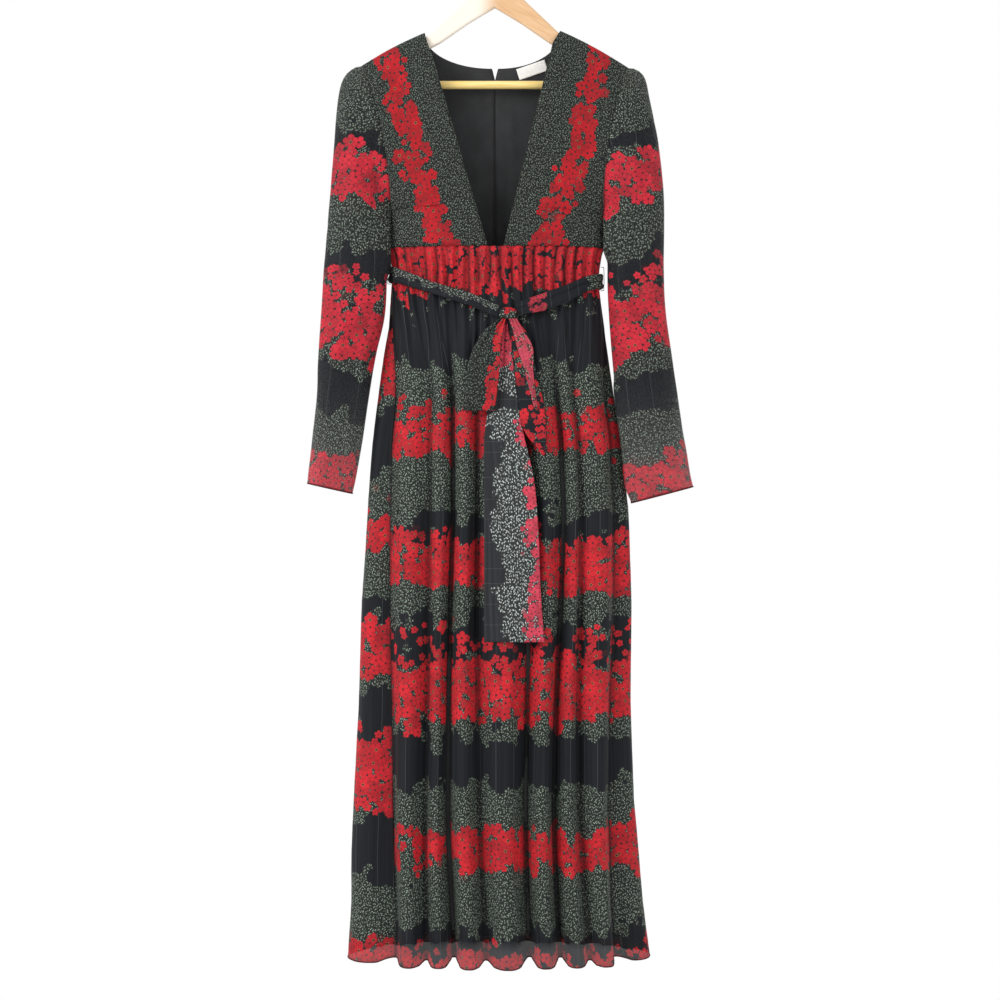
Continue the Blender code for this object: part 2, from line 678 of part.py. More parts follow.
def build_skirt(cloth):
    """A gathered front, and two gathered backs that meet at the centre back."""
    face = [skirt_ring(drop, hem=drop == HEM_DROP) for drop in SKIRT_ROWS]
    normals = inward_normals(face, tube=True)
    flatten(normals[0], 2)
    for name, first, last in (("skirt_front", 0, FRONT_CELLS),
                              ("skirt_back_right", FRONT_CELLS, BACK_CENTRE),
                              ("skirt_back_left", BACK_CENTRE, RING_CELLS)):
        part_face, part_normals = panel(face, normals, first, last)
        wall(name, trim_sides(part_face, SEAM), CHIFFON + 0.1, cloth, normals=part_normals)


def skirt_lining_inset(drop):
    """How far the lining's mean section lies inside the skirt's."""
    return float(np.interp(drop, (320, 331, 460, HEM_DROP), (3.7, 5.4, 6.5, 11.0)))


def build_skirt_lining(lining):
    """A slip with the same folds, shallower, and two columns to each fold."""
    columns = [column for column in range(RING_CELLS) if column % (STEPS // 2) == 0]
    face = []
    for drop in LINING_ROWS:
        turns, level = column_turns(drop), skirt_level(drop)
        line = []
        for column in columns:
            x, y, nx, ny = oval_spot(level, turns[column])
            out = 0.55 * level.fold * fold_height(column) - skirt_lining_inset(drop)
            line.append(point(x + nx * out, y + ny * out, drop))
        face.append(line)
    normals = inward_normals(face, tube=True)
    flatten(normals[0], 2)
    seam = columns.index(FRONT_CELLS)
    for name, first, last in (("skirt_lining_front", 0, seam),
                              ("skirt_lining_back", seam, len(columns))):
        pick = [column % len(columns) for column in range(first, last + 1)]
        part_face = trim_sides([[line[k] for k in pick] for line in face], SEAM)
        part_normals = [[line[k] for k in pick] for line in normals]
        wall(name, part_face, LINING, lining, normals=part_normals)


# ---------------------------------------------------------------- belt and bow
def belt_grid(stations, turns, knot_sag=0.0):
    """The outer face of a stretch of belt that follows the skirt's section."""
    places = [station.x for station in stations]
    face = [[] for _ in BELT_CREASES]
    for turn in turns:
        rough, _, _, _ = oval_spot(skirt_level(370.0), turn)
        middle = float(np.interp(rough, places, [station.drop for station in stations]))
        height = float(np.interp(rough, places, [station.height for station in stations]))
        lean = knot_sag * smooth_share(abs(math.sin(math.pi * turn)), 0.3, 1.0)
        for row, crease in enumerate(BELT_CREASES):
            share = row / (len(BELT_CREASES) - 1)
            drop = middle + height * (share - 0.5)
            level = skirt_level(drop)
            x, y, nx, ny = oval_spot(level, turn)
            out = 3.0 * gather_share(turn) + level.fold + BELT_CLEAR + BELT_WALL + crease
            out += lean * share
            face[row].append(point(x + nx * out, y + ny * out, drop))
    return face


def spread(start, end, cells):
    """Values from start to end, close together near the dress's sides, turns 0, 1 and 2."""
    values = []
    for k in range(cells + 1):
        share = k / cells
        if start % 1.0 == 0.0 and end % 1.0 == 0.0:
            share = (1.0 - math.cos(math.pi * share)) / 2
        elif start % 1.0 == 0.0:
            share = share ** 1.7
        elif end % 1.0 == 0.0:
            share = 1.0 - (1.0 - share) ** 1.7
        values.append(start + (end - start) * share)
    return values


def square_end(face, normals, column, axis, value):
    """Bring one end of a stretch of belt to a plane square to an axis."""
    for line in face:
        line[column][axis] = value
    flatten_column(normals, column, axis)


def build_belt(cloth):
    """The stretches of belt on the front and the back."""
    level = skirt_level(415.0)
    half = (level.right - level.left) / 2
    middle = (level.right + level.left) / 2
    knot_left = KNOT_CENTRE[0] - KNOT_SIZE[0] / 2 - CLEAR
    knot_right = KNOT_CENTRE[0] + KNOT_SIZE[0] / 2 + CLEAR
    stop = turn_of(level, (knot_left - middle) / half, "front")
    start = turn_of(level, (knot_right - middle) / half, "front")
    side = SEAM / 2
    for name, stations, first, last, cells, ends in (
            ("belt_front_left", BELT_FRONT, 0.0, stop, 14, ((1, -side), (0, knot_left))),
            ("belt_front_right", BELT_FRONT, start, 1.0, 13, ((0, knot_right), (1, -side))),
            ("belt_back", BELT_BACK, 1.0, 2.0, 24, ((1, side), (1, side)))):
        sag = 0.0 if stations is BELT_BACK else BELT_SAG
        face = belt_grid(stations, spread(first, last, cells), sag)
        normals = inward_normals(face)
        for column, (axis, value) in zip((0, -1), ends):
            square_end(face, normals, column, axis, value)
        wall(name, face, BELT_WALL, cloth, normals=normals)


def front_reach(drop):
    """How far the skirt's front stands out from the dress's middle plane at a drop."""
    level = skirt_level(drop)
    return level.half_depth + level.fold + level.gather


def build_knot(cloth):
    """A rounded block where the belt is tied."""
    shape = bmesh.new()
    bmesh.ops.create_cube(shape, size=1.0)
    reach = front_reach(KNOT_CENTRE[1])
    centre = point(KNOT_CENTRE[0], -reach - BELT_CLEAR - KNOT_SIZE[1] / 2, KNOT_CENTRE[1])
    bmesh.ops.scale(shape, vec=KNOT_SIZE, verts=shape.verts)
    bmesh.ops.translate(shape, vec=centre, verts=shape.verts)
    bmesh.ops.bevel(shape, geom=shape.edges[:], offset=KNOT_BEVEL, segments=2, profile=0.5,
                    affect="EDGES")
    return add_object("belt_knot", shape, cloth)


def ribbon_line(row, depth_back=0.0):
    """The points across a ribbon at one row."""
    line = []
    for k, share in enumerate(RIBBON_COLUMNS):
        wave = RIBBON_WAVE * (1 if k % 2 else -1)
        y = -front_reach(row.drop) - row.stand_off + depth_back + wave * 0.5
        line.append(point(row.left + (row.right - row.left) * share, y, row.drop))
    return line


def ribbon(name, face, cloth):
    """A ribbon's wall, its ends level under the knot."""
    normals = inward_normals(face)
    for row in (0, -1):
        flatten(normals[row], 2)
    wall(name, face, CHIFFON, cloth, normals=normals)


def build_bow(cloth):
    """The bow's loops and the belt's two ends, hanging from the knot."""
    for name, rows in (("belt_tail_long", TAIL_LONG), ("belt_tail_short", TAIL_SHORT),
                       ("bow_loop_right", LOOP_RIGHT)):
        ribbon(name, [ribbon_line(row) for row in rows], cloth)
    face = [ribbon_line(row) for row in LOOP_LEFT]
    last = LOOP_LEFT[-1]
    radius = LOOP_LAYER_GAP / 2
    for turn in (45, 90, 135):
        angle = math.radians(turn)
        line = ribbon_line(last, depth_back=radius * (1 - math.cos(angle)))
        face.append([spot - Vector((0, 0, radius * math.sin(angle))) for spot in line])
    face += [ribbon_line(row, depth_back=LOOP_LAYER_GAP) for row in reversed(LOOP_LEFT)]
    ribbon("bow_loop_left", face, cloth)


def build_thread_loops(thread):
    """Thread loops that hold the belt at the side seams."""
    for word, turn, top, foot in THREAD_LOOPS:
        sign = -1.0 if turn == 0.0 else 1.0
        edge_top, edge, edge_foot = (oval_spot(skirt_level(drop), turn)[0] + sign * 1.2
                                     for drop in (top, (top + foot) / 2, foot))
        far = edge + sign * THREAD_REACH
        route = ((edge_top, top - 1.0), (far - sign * 1.5, top - 0.6), (far, top + 1.2),
                 (far, foot - 1.2), (far - sign * 1.5, foot + 0.6), (edge_foot, foot + 1.0))
        add_wire(f"thread_loop_{word}", [point(x, 0.0, drop) for x, drop in route],
                 THREAD_RADIUS, thread, resolution=1)


# ---------------------------------------------------------------- zip and label
def zip_depth(drop):
    """Half depth of the outer cloth along the centre back, bodice and skirt."""
    if drop <= WAIST_DROP:
        return back_centre_depth(drop) - CHIFFON
    level = skirt_level(drop)
    return level.half_depth - 0.4 * level.fold - CHIFFON - 0.1


def build_zip(tape, metal):
    """The zip's tape inside the back, its slider, and the pull tab that swings on it."""
    drops = [NOTCH_DROP + 1.0, 90, 130, 180, 230, 280, 318, 323, 345, 370, 405, ZIP_END_DROP]
    columns = (ZIP_HALF_WIDTH, 0.0, -ZIP_HALF_WIDTH)
    wall("zip_tape", [[point(x, zip_depth(drop) - ZIP_CLEAR, drop) for x in columns]
                      for drop in drops], ZIP_TAPE, tape)

    width, depth, height = SLIDER_SIZE
    seat = back_centre_depth(SLIDER_DROP + height) + CLEAR
    slider = bmesh.new()
    add_block(slider, (0.0, seat + depth / 2, SLIDER_DROP + height / 2), SLIDER_SIZE)
    body = add_object("zip_slider", slider, metal)
    pivot = zip_pivot()
    cheek_width, cheek_depth, cheek_height = CHEEK
    for sign in (-1, 1):
        cheek = bmesh.new()
        cheek_x = sign * (TAB_HALF_WIDTH + CLEAR + cheek_width / 2)
        add_block(cheek, (cheek_x, seat + depth + cheek_depth / 2 - 0.3, pivot[1]),
                  (cheek_width, cheek_depth + 0.6, cheek_height))
        union(body, add_object("cheek", cheek, metal))

    tab = bmesh.new()
    bmesh.ops.create_cone(tab, cap_ends=True, segments=16, radius1=TAB_BARREL_RADIUS,
                          radius2=TAB_BARREL_RADIUS, depth=2 * TAB_HALF_WIDTH)
    bmesh.ops.rotate(tab, cent=(0, 0, 0), matrix=Matrix.Rotation(math.pi / 2, 3, "Y"),
                     verts=tab.verts)
    bmesh.ops.translate(tab, vec=point(0.0, pivot[0], pivot[1]), verts=tab.verts)
    barrel = add_object("zip_pull_tab", tab, metal)
    plate = bmesh.new()
    outline = ((-1.2, 0.4), (-1.2, 6.0), (-2.0, 10.0), (-2.4, 14.0), (-1.7, TAB_LENGTH - 0.8),
               (0.0, TAB_LENGTH), (1.7, TAB_LENGTH - 0.8), (2.4, 14.0), (2.0, 10.0),
               (1.2, 6.0), (1.2, 0.4))
    front = [plate.verts.new(point(x, pivot[0] - TAB_THICKNESS / 2, pivot[1] + down))
             for x, down in outline]
    base = plate.faces.new(front)
    lifted = bmesh.ops.extrude_face_region(plate, geom=[base])
    moved = [item for item in lifted["geom"] if isinstance(item, bmesh.types.BMVert)]
    bmesh.ops.translate(plate, vec=(0, TAB_THICKNESS, 0), verts=moved)
    union(barrel, add_object("plate", plate, metal))


def zip_pivot():
    """The pull tab's axis: y and drop."""
    seat = back_centre_depth(SLIDER_DROP + SLIDER_SIZE[2]) + CLEAR
    return seat + SLIDER_SIZE[1] + CLEAR + TAB_BARREL_RADIUS, SLIDER_DROP + PIVOT_BELOW_TOP


def lining_spot(side, x, drop):
    """A point of the back lining's inner face, found between the rows of its face."""
    face, normals = lining_face(side)
    inside = shifted(face, normals, LINING)
    crossings = []
    for line in inside:
        order = sorted(line, key=lambda spot: spot.x)
        xs = [spot.x for spot in order]
        crossings.append((-SHOULDER_BELOW_RAIL - float(np.interp(x, xs, [s.z for s in order])),
                          float(np.interp(x, xs, [s.y for s in order]))))
    crossings.sort()
    return float(np.interp(drop, [c[0] for c in crossings], [c[1] for c in crossings]))


def build_label(woven):
    """A blank woven label on the right back lining, just under the neckline."""
    face = []
    for v in (-0.5, 0.0, 0.5):
        line = []
        for u in (0.5, 0.25, 0.0, -0.25, -0.5):
            across, down = u * LABEL_SIZE[0], v * LABEL_SIZE[1]
            x = LABEL_CENTRE[0] + across * math.cos(LABEL_TILT) + down * math.sin(LABEL_TILT)
            drop = LABEL_CENTRE[1] - across * math.sin(LABEL_TILT) + down * math.cos(LABEL_TILT)
            y = lining_spot(RIGHT, x, drop) - CLEAR
            line.append(point(x, y, drop))
        face.append(line)
    wall("neck_label", face, LABEL_WALL, woven)


# ---------------------------------------------------------------- hanger
def add_block(shape, centre, size):
    """Add a box to a bmesh, its centre given as (x, y, drop)."""
    made = bmesh.ops.create_cube(shape, size=1.0)
    bmesh.ops.scale(shape, vec=size, verts=made["verts"])
    bmesh.ops.translate(shape, vec=point(*centre), verts=made["verts"])


def union(body, extra):
    """Fuse extra into body and remove it."""
    apply_boolean(body, extra, "UNION")


def apply_boolean(body, tool, operation):
    """Apply a Boolean of the tool to the body, and remove the tool."""
    change = body.modifiers.new("change", "BOOLEAN")
    change.operation = operation
    change.object = tool
    change.solver = "EXACT"
    bpy.context.view_layer.update()
    graph = bpy.context.evaluated_depsgraph_get()
    result = bpy.data.meshes.new_from_object(body.evaluated_get(graph))
    body.modifiers.remove(change)
    old = body.data
    body.data = result
    bpy.data.meshes.remove(old)
    bpy.data.objects.remove(tool)
    body.data.shade_smooth()
    body.data.set_sharp_from_angle(angle=math.radians(40))


def add_wire(name, route, radius, shade, resolution=2):
    """A round wire along a route of points in millimetres."""
    curve = bpy.data.curves.new(name, "CURVE")
    curve.dimensions = "3D"
    curve.bevel_depth = radius * MM
    curve.bevel_resolution = resolution
    curve.use_fill_caps = True
    spline = curve.splines.new("POLY")
    spline.points.add(len(route) - 1)
    for spot, place in zip(spline.points, route):
        spot.co = (*(place * MM), 1.0)
    wire = bpy.data.objects.new(name, curve)
    wire.data.materials.append(shade)
    bpy.context.scene.collection.objects.link(wire)
    return wire


def cylinder(radius, length, sides):
    """A bmesh cylinder along Z, centred on the origin."""
    shape = bmesh.new()
    bmesh.ops.create_cone(shape, cap_ends=True, segments=sides, radius1=radius, radius2=radius,
                          depth=length)
    return shape


def lying_cylinder(radius, start, end, drop, sides):
    """A bmesh cylinder along X between two values of x."""
    shape = cylinder(radius, end - start, sides)
    bmesh.ops.rotate(shape, cent=(0, 0, 0), matrix=Matrix.Rotation(math.pi / 2, 3, "Y"),
                     verts=shape.verts)
    bmesh.ops.translate(shape, vec=point((start + end) / 2, 0.0, drop), verts=shape.verts)
    return shape


def build_arms(wood):
    """Both arms of the hanger in one piece, with sockets for the bar and the hook."""
    right = list(ARM_CREST) + list(ARM_FOOT)
    outline = right + [(-x, drop) for x, drop in reversed(right) if x > 0]
    shape = bmesh.new()
    front = shape.faces.new([shape.verts.new(point(x, -ARM_THICKNESS / 2, drop))
                             for x, drop in outline])
    lifted = bmesh.ops.extrude_face_region(shape, geom=[front])
    moved = [item for item in lifted["geom"] if isinstance(item, bmesh.types.BMVert)]
    bmesh.ops.translate(shape, vec=(0, ARM_THICKNESS, 0), verts=moved)
    rims = [edge for edge in shape.edges
            if abs(edge.verts[0].co.y - edge.verts[1].co.y) < ARM_THICKNESS / 2
            and not all(abs(abs(end.co.x) - BAR_SEAT) < 0.01 for end in edge.verts)]
    bmesh.ops.bevel(shape, geom=rims, offset=ARM_BEVEL, segments=2, profile=0.5,
                    affect="EDGES")
    arms = add_object("hanger_arms", shape, wood)
    for sign in (-1, 1):
        ends = sorted((sign * (BAR_HALF_LENGTH - 30), sign * (BAR_HALF_LENGTH + CLEAR)))
        socket = lying_cylinder(BAR_PIN_RADIUS + CLEAR, *ends, BAR_DROP, BAR_SIDES)
        apply_boolean(arms, add_object("socket", socket, wood), "DIFFERENCE")
    bore = cylinder(HOOK_WIRE + CLEAR, 2 * (HOOK_SOCKET + CLEAR), 16)
    bmesh.ops.translate(bore, vec=point(0.0, 0.0, ARM_CREST[0][1]), verts=bore.verts)
    apply_boolean(arms, add_object("bore", bore, wood), "DIFFERENCE")


def build_bar(wood):
    """The round bar, turned down at its ends to fit the arms' sockets."""
    shoulder = BAR_SEAT - CLEAR
    bar = add_object("hanger_bar", lying_cylinder(BAR_RADIUS, -shoulder, shoulder, BAR_DROP,
                                                  BAR_SIDES), wood)
    pin = lying_cylinder(BAR_PIN_RADIUS, -BAR_HALF_LENGTH, BAR_HALF_LENGTH, BAR_DROP,
                         BAR_SIDES)
    union(bar, add_object("pin", pin, wood))


def hook_route():
    """The hook's centre line: up from the wood and round, open to the left."""
    radius = HOOK_INNER_RADIUS + HOOK_WIRE
    foot = -SHOULDER_BELOW_RAIL - ARM_CREST[0][1] - HOOK_SOCKET
    route = [Vector((0.0, 0.0, foot)), Vector((0.0, 0.0, -46.0)), Vector((0.6, 0.0, -41.0)),
             Vector((3.0, 0.0, -37.0))]
    for turn in range(-55, 206, 13):
        angle = math.radians(turn)
        route.append(Vector((radius * math.cos(angle), 0.0,
                             -HOOK_INNER_RADIUS + radius * math.sin(angle))))
    return route


def build_hanger(wood, bar_wood, metal):
    """Arms, bar and hook."""
    build_arms(wood)
    build_bar(bar_wood)
    add_wire("hanger_hook", hook_route(), HOOK_WIRE, metal)


def main():
    """Build the whole dress on its hanger."""
    for thing in list(bpy.data.objects):
        bpy.data.objects.remove(thing)
    print_cloth = material("printed_chiffon", (0.16, 0.05, 0.05), 0.75)
    lining = material("black_lining", (0.02, 0.02, 0.022), 0.6)
    thread = material("black_thread", (0.03, 0.03, 0.03), 0.8)
    woven = material("white_woven_label", (0.9, 0.9, 0.88), 0.7)
    zip_cloth = material("zip_tape", (0.02, 0.02, 0.022), 0.8)
    zip_metal = material("zip_metal", (0.05, 0.05, 0.055), 0.35, 1.0)
    wood = material("pale_wood", (0.80, 0.62, 0.42), 0.45)
    bar_wood = material("yellow_wood", (0.86, 0.70, 0.34), 0.4)
    steel = material("hook_steel", (0.75, 0.75, 0.76), 0.25, 1.0)

    build_hanger(wood, bar_wood, steel)
    build_bodice(print_cloth, lining)
    build_sleeves(print_cloth)
    build_skirt(print_cloth)
    build_skirt_lining(lining)
    build_belt(print_cloth)
    build_knot(print_cloth)
    build_bow(print_cloth)
    build_thread_loops(thread)
    build_zip(zip_cloth, zip_metal)
    build_label(woven)


main()
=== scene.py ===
"""Looks of a long-sleeved V-neck maxi dress on its wooden hanger.

Frame: metres, +X to the right of the dress seen from the front, -Y its front, +Z up, origin
at the inner top of the hanger's hook.  Tables and functions here use millimetres; a drop is
a distance below the high point of the left shoulder.
"""
import logging
import math
from dataclasses import dataclass, field
from enum import Enum
from functools import cache

import bmesh
import bpy
import numpy as np
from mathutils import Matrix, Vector


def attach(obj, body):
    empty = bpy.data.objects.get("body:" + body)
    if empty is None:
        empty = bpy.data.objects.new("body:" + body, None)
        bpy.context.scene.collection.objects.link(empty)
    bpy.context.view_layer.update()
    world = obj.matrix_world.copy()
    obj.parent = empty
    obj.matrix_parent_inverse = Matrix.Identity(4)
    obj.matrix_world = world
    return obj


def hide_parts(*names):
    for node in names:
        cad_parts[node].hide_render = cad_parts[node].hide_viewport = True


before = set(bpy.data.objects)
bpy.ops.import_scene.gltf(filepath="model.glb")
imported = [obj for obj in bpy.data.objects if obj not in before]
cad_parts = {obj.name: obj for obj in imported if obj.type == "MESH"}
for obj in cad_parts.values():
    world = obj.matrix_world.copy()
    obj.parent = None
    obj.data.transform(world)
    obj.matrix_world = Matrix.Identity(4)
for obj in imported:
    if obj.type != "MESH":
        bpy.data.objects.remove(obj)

log = logging.getLogger("maxi_dress")

MM = 0.001
SHOULDER_BELOW_RAIL = 136.5
WAIST_DROP = 320.0
HEM_DROP = 1378.0
LINING_HEM_DROP = 1330.0
OVAL = 2.3
CLOTH_WALL = 0.7

PETALS = 5
PETAL_CENTRE, PETAL_LONG, PETAL_WIDE = 0.57, 0.43, 0.37     # shares of a flower's radius
LEAF_SHIFT = (11.0, 5.0, 0.0)
BLOOMS = (("Bud", 0.0130, 0.0060, (5.4, 3.3, 0.0)), ("Flower", 0.0205, 0.0105, (37.3, 11.7, 0.0)),
          ("Flower", 0.0175, 0.0100, (3.1, 7.9, 0.0)))      # kind, spacing, radius, shift
SLUBS = (260.0, 5.0, 1.0)       # slubs to a metre across and along

Colour = tuple[float, float, float]
Table = tuple[tuple[float, ...], ...]
Array = np.ndarray
Socket = bpy.types.NodeSocket


# ---------------------------------------------------------------- small tools
class Side(Enum):
    """The wearer's sides as seen from the front of the dress."""

    LEFT = "left"
    RIGHT = "right"

    @property
    def sign(self) -> int:
        """-1 on the left, where x is negative, and 1 on the right."""
        return -1 if self is Side.LEFT else 1


def smooth_share(value: Array, start: float, end: float) -> Array:
    """A smooth step.

    Args:
        value: Where to read it.
        start: The value up to which the step is 0.
        end: The value from which it is 1.

    Returns:
        Shares from 0 to 1.
    """
    share = np.clip((np.asarray(value, float) - start) / (end - start), 0.0, 1.0)
    return share * share * (3.0 - 2.0 * share)


def curve_through(at: Array, knots: Array, rows: Array) -> Array:
    """Read smooth curves through the rows of a table.

    Args:
        at: Places along the table.
        knots: The place of each row, rising.
        rows: One row of values for each knot.

    Returns:
        One row of values for each place.
    """
    knots, rows, at = (np.asarray(item, float) for item in (knots, rows, at))
    slopes = np.gradient(rows, knots, axis=0)
    k = np.clip(np.searchsorted(knots, at, side="right") - 1, 0, len(knots) - 2)
    span = (knots[k + 1] - knots[k])[:, None]
    s = np.clip((at - knots[k])[:, None] / span, 0.0, 1.0)
    return ((1 + 2 * s) * (1 - s) ** 2 * rows[k] + s * (1 - s) ** 2 * span * slopes[k]
            + s * s * (3 - 2 * s) * rows[k + 1] + s * s * (s - 1) * span * slopes[k + 1])


@cache
def lattice(seed: int) -> Array:
    """A fixed square of values between -1 and 1, the same for the same seed."""
    return np.random.default_rng(seed).uniform(-1.0, 1.0, (64, 64))


def ripple(u: Array, v: Array, seed: int) -> Array:
    """Smooth noise over two arrays.

    Args:
        u: First coordinate, one hump to a unit.
        v: Second coordinate.
        seed: Which noise.

    Returns:
        Values between -1 and 1.
    """
    grid = lattice(seed)
    u, v = np.broadcast_arrays(np.asarray(u, float), np.asarray(v, float))
    i, j = np.floor(u).astype(int), np.floor(v).astype(int)
    s, t = (w * w * (3 - 2 * w) for w in (u - i, v - j))
    i, j, i1, j1 = i % 64, j % 64, (i + 1) % 64, (j + 1) % 64
    return ((grid[i, j] * (1 - s) + grid[i1, j] * s) * (1 - t)
            + (grid[i, j1] * (1 - s) + grid[i1, j1] * s) * t)


def arc_lengths(spots: Array, axis: int) -> Array:
    """Length along a grid of points from its first row or column, at every point."""
    steps = np.linalg.norm(np.diff(spots, axis=axis), axis=2)
    return np.insert(np.cumsum(steps, axis=axis), 0, 0.0, axis=axis)


def from_ends(along: Array, axis: int) -> Array:
    """Distance from the nearer end, from the lengths along a grid's rows or columns."""
    return np.minimum(along, along.take([-1], axis=axis) - along)


def near(away: Array, width: float) -> Array:
    """1 on a line and less beside it, by the distance from it."""
    return np.exp(-(away / width) ** 2)


def pairs(across: Array, down: Array) -> Array:
    """Places on a flat cloth, from arrays that are spread to one shape."""
    return np.stack(np.broadcast_arrays(across, down), axis=-1)


def unit(ways: Array) -> Array:
    """Directions brought to length 1."""
    return ways / np.maximum(np.linalg.norm(ways, axis=-1, keepdims=True), 1e-9)


def rings(line: Array, first: Array, turns: Array) -> Array:
    """Rings of radius 1 square to a line.

    Args:
        line: Its points.
        first: The direction of turn 0 at each of them.
        turns: Places round a ring, in radians.

    Returns:
        Offsets from the line's points, by point and turn.
    """
    beside = np.cross(unit(np.gradient(line, axis=0)), first)
    return (np.cos(turns)[None, :, None] * first[:, None]
            + np.sin(turns)[None, :, None] * beside[:, None])


def at_drop(x: Array, y: Array, drop: Array) -> Array:
    """Points from their place across, depth and drop."""
    x, y, drop = np.broadcast_arrays(x, y, drop)
    return np.stack((x, y, -SHOULDER_BELOW_RAIL - drop), axis=-1)


def drops_of(spots: Array) -> Array:
    """The drops of points."""
    return -spots[..., 2] - SHOULDER_BELOW_RAIL


def finished(name: str, form: bmesh.types.BMesh) -> bpy.types.Mesh:
    """A named mesh of a form, which is freed."""
    mesh = bpy.data.meshes.new(name)
    form.to_mesh(mesh)
    form.free()
    return mesh


@dataclass(frozen=True)
class Crease:
    """A soft trough in a cloth, placed on its flat sizes in mm; a negative depth is a ridge."""

    start: tuple[float, float]
    end: tuple[float, float]
    width: float
    depth: float
    bow: float = 0.0

    def height(self, u: Array, v: Array) -> Array:
        """How far the cloth moves outwards at each place of its flat sheet."""
        (u0, v0), (u1, v1) = self.start, self.end
        length = math.hypot(u1 - u0, v1 - v0)
        along = ((u - u0) * (u1 - u0) + (v - v0) * (v1 - v0)) / length
        off = ((u - u0) * (v1 - v0) - (v - v0) * (u1 - u0)) / length
        share = np.clip(along / length, 0.0, 1.0)
        off = off - self.bow * np.sin(np.pi * share)
        beyond = along - share * length
        fade = np.sin(np.pi * np.clip(share, 0.04, 0.96)) ** 0.6
        return -self.depth * fade * np.exp(-(off ** 2 + beyond ** 2) / self.width ** 2)


def creases(*rows: tuple[float, ...]) -> tuple[Crease, ...]:
    """Creases from rows of start across and down, end across and down, width, depth, bow."""
    return tuple(Crease(row[:2], row[2:4], *row[4:]) for row in rows)


# ---------------------------------------------------------------- shader tools
class Weaver:
    """Adds nodes to a node tree and joins them."""

    def __init__(self, tree: bpy.types.NodeTree) -> None:
        """Work on one tree."""
        self.tree = tree

    def fill(self, node: bpy.types.Node, feeds: dict) -> bpy.types.Node:
        """Give a node's inputs, by name or number, sockets to read or values; returns it."""
        for name, value in feeds.items():
            if isinstance(value, Socket):
                self.tree.links.new(value, node.inputs[name])
            else:
                node.inputs[name].default_value = value
        return node

    def add(self, kind: str, feeds: dict | None = None, **settings: object) -> bpy.types.Node:
        """Add a node.

        Args:
            kind: The node's type after "ShaderNode".
            feeds: Values or sockets for its inputs, by name or number.
            settings: Its own properties.

        Returns:
            The node.
        """
        node = self.tree.nodes.new("ShaderNode" + kind)
        for name, value in settings.items():
            setattr(node, name, value)
        return self.fill(node, feeds or {})

    def math(self, operation: str, *values: object) -> Socket:
        """One Math node; returns its output."""
        return self.add("Math", dict(enumerate(values)), operation=operation).outputs[0]

    def times(self, first: object, second: object) -> Socket:
        """The product of two values."""
        return self.math("MULTIPLY", first, second)

    def minus(self, first: object, second: object) -> Socket:
        """A value less another."""
        return self.math("SUBTRACT", first, second)

    def off(self, first: object, second: object) -> Socket:
        """How far a value is from another."""
        return self.math("ABSOLUTE", self.minus(first, second))

    def line(self, value: object, slope: object, start: object) -> Socket:
        """A value times a slope, plus a start."""
        return self.math("MULTIPLY_ADD", value, slope, start)

    def vector(self, operation: str, *values: object) -> Socket:
        """One Vector Math node; returns its vector, or its value for a length."""
        outputs = self.add("VectorMath", dict(enumerate(values)), operation=operation).outputs
        return outputs["Value" if operation == "LENGTH" else "Vector"]

    def scaled(self, vector: object, scale: object) -> Socket:
        """A vector times a value."""
        return self.add("VectorMath", {"Vector": vector, "Scale": scale},
                        operation="SCALE").outputs[0]

    def split(self, value: object, kind: str = "XYZ") -> bpy.types.NodeOutputs:
        """The parts of a vector, or of a colour where kind is Color."""
        return self.add("Separate" + kind, {0: value}).outputs

    def step(self, value: object, low: float, high: float, first: float = 0.0,
             last: float = 1.0) -> Socket:
        """A smooth step from first to last as a value goes from low to high."""
        return self.add("MapRange", {0: value, 1: low, 2: high, 3: first, 4: last},
                        interpolation_type="SMOOTHSTEP").outputs[0]

    def mix(self, share: object, first: object, second: object,
            blend: str = "MIX") -> Socket:
        """A colour between two others."""
        first, second = ((*item, 1.0) if isinstance(item, tuple) and len(item) == 3 else item
                         for item in (first, second))
        return self.add("Mix", {0: share, 6: first, 7: second}, data_type="RGBA",
                        blend_type=blend).outputs[2]

    def toned(self, colour: object, tone: object) -> Socket:
        """A colour times a tone."""
        return self.mix(1.0, colour, tone, "MULTIPLY")

    def noise(self, vector: object, scale: object, detail: float = 2.0,
              output: str = "Fac") -> Socket:
        """A noise texture of three dimensions."""
        return self.add("TexNoise", {"Vector": vector, "Scale": scale, "Detail": detail}
                        ).outputs[output]

    def group(self, tree: bpy.types.NodeTree, feeds: dict) -> bpy.types.NodeOutputs:
        """Place a node group; returns what it puts out."""
        node = self.tree.nodes.new("ShaderNodeGroup")
        node.node_tree = tree
        return self.fill(node, feeds).outputs

    def dress(self, feeds: dict, height: Socket, strength: float,
              distance: float) -> None:
        """Feed a material's own shader.

        Args:
            feeds: Sockets and plain values for its inputs, by name.
            height: The relief of its surface.
            strength: Of the relief's bump.
            distance: Of the relief's bump, in metres.
        """
        bump = self.add("Bump", {"Strength": strength, "Distance": distance, "Height": height})
        self.fill(self.tree.nodes["Principled BSDF"], {**feeds, "Normal": bump.outputs[0]})


def new_material(name: str) -> tuple[bpy.types.Material, Weaver]:
    """Start a material; returns it and a weaver for it."""
    shade = bpy.data.materials.new(name)
    shade.use_nodes = True
    return shade, Weaver(shade.node_tree)


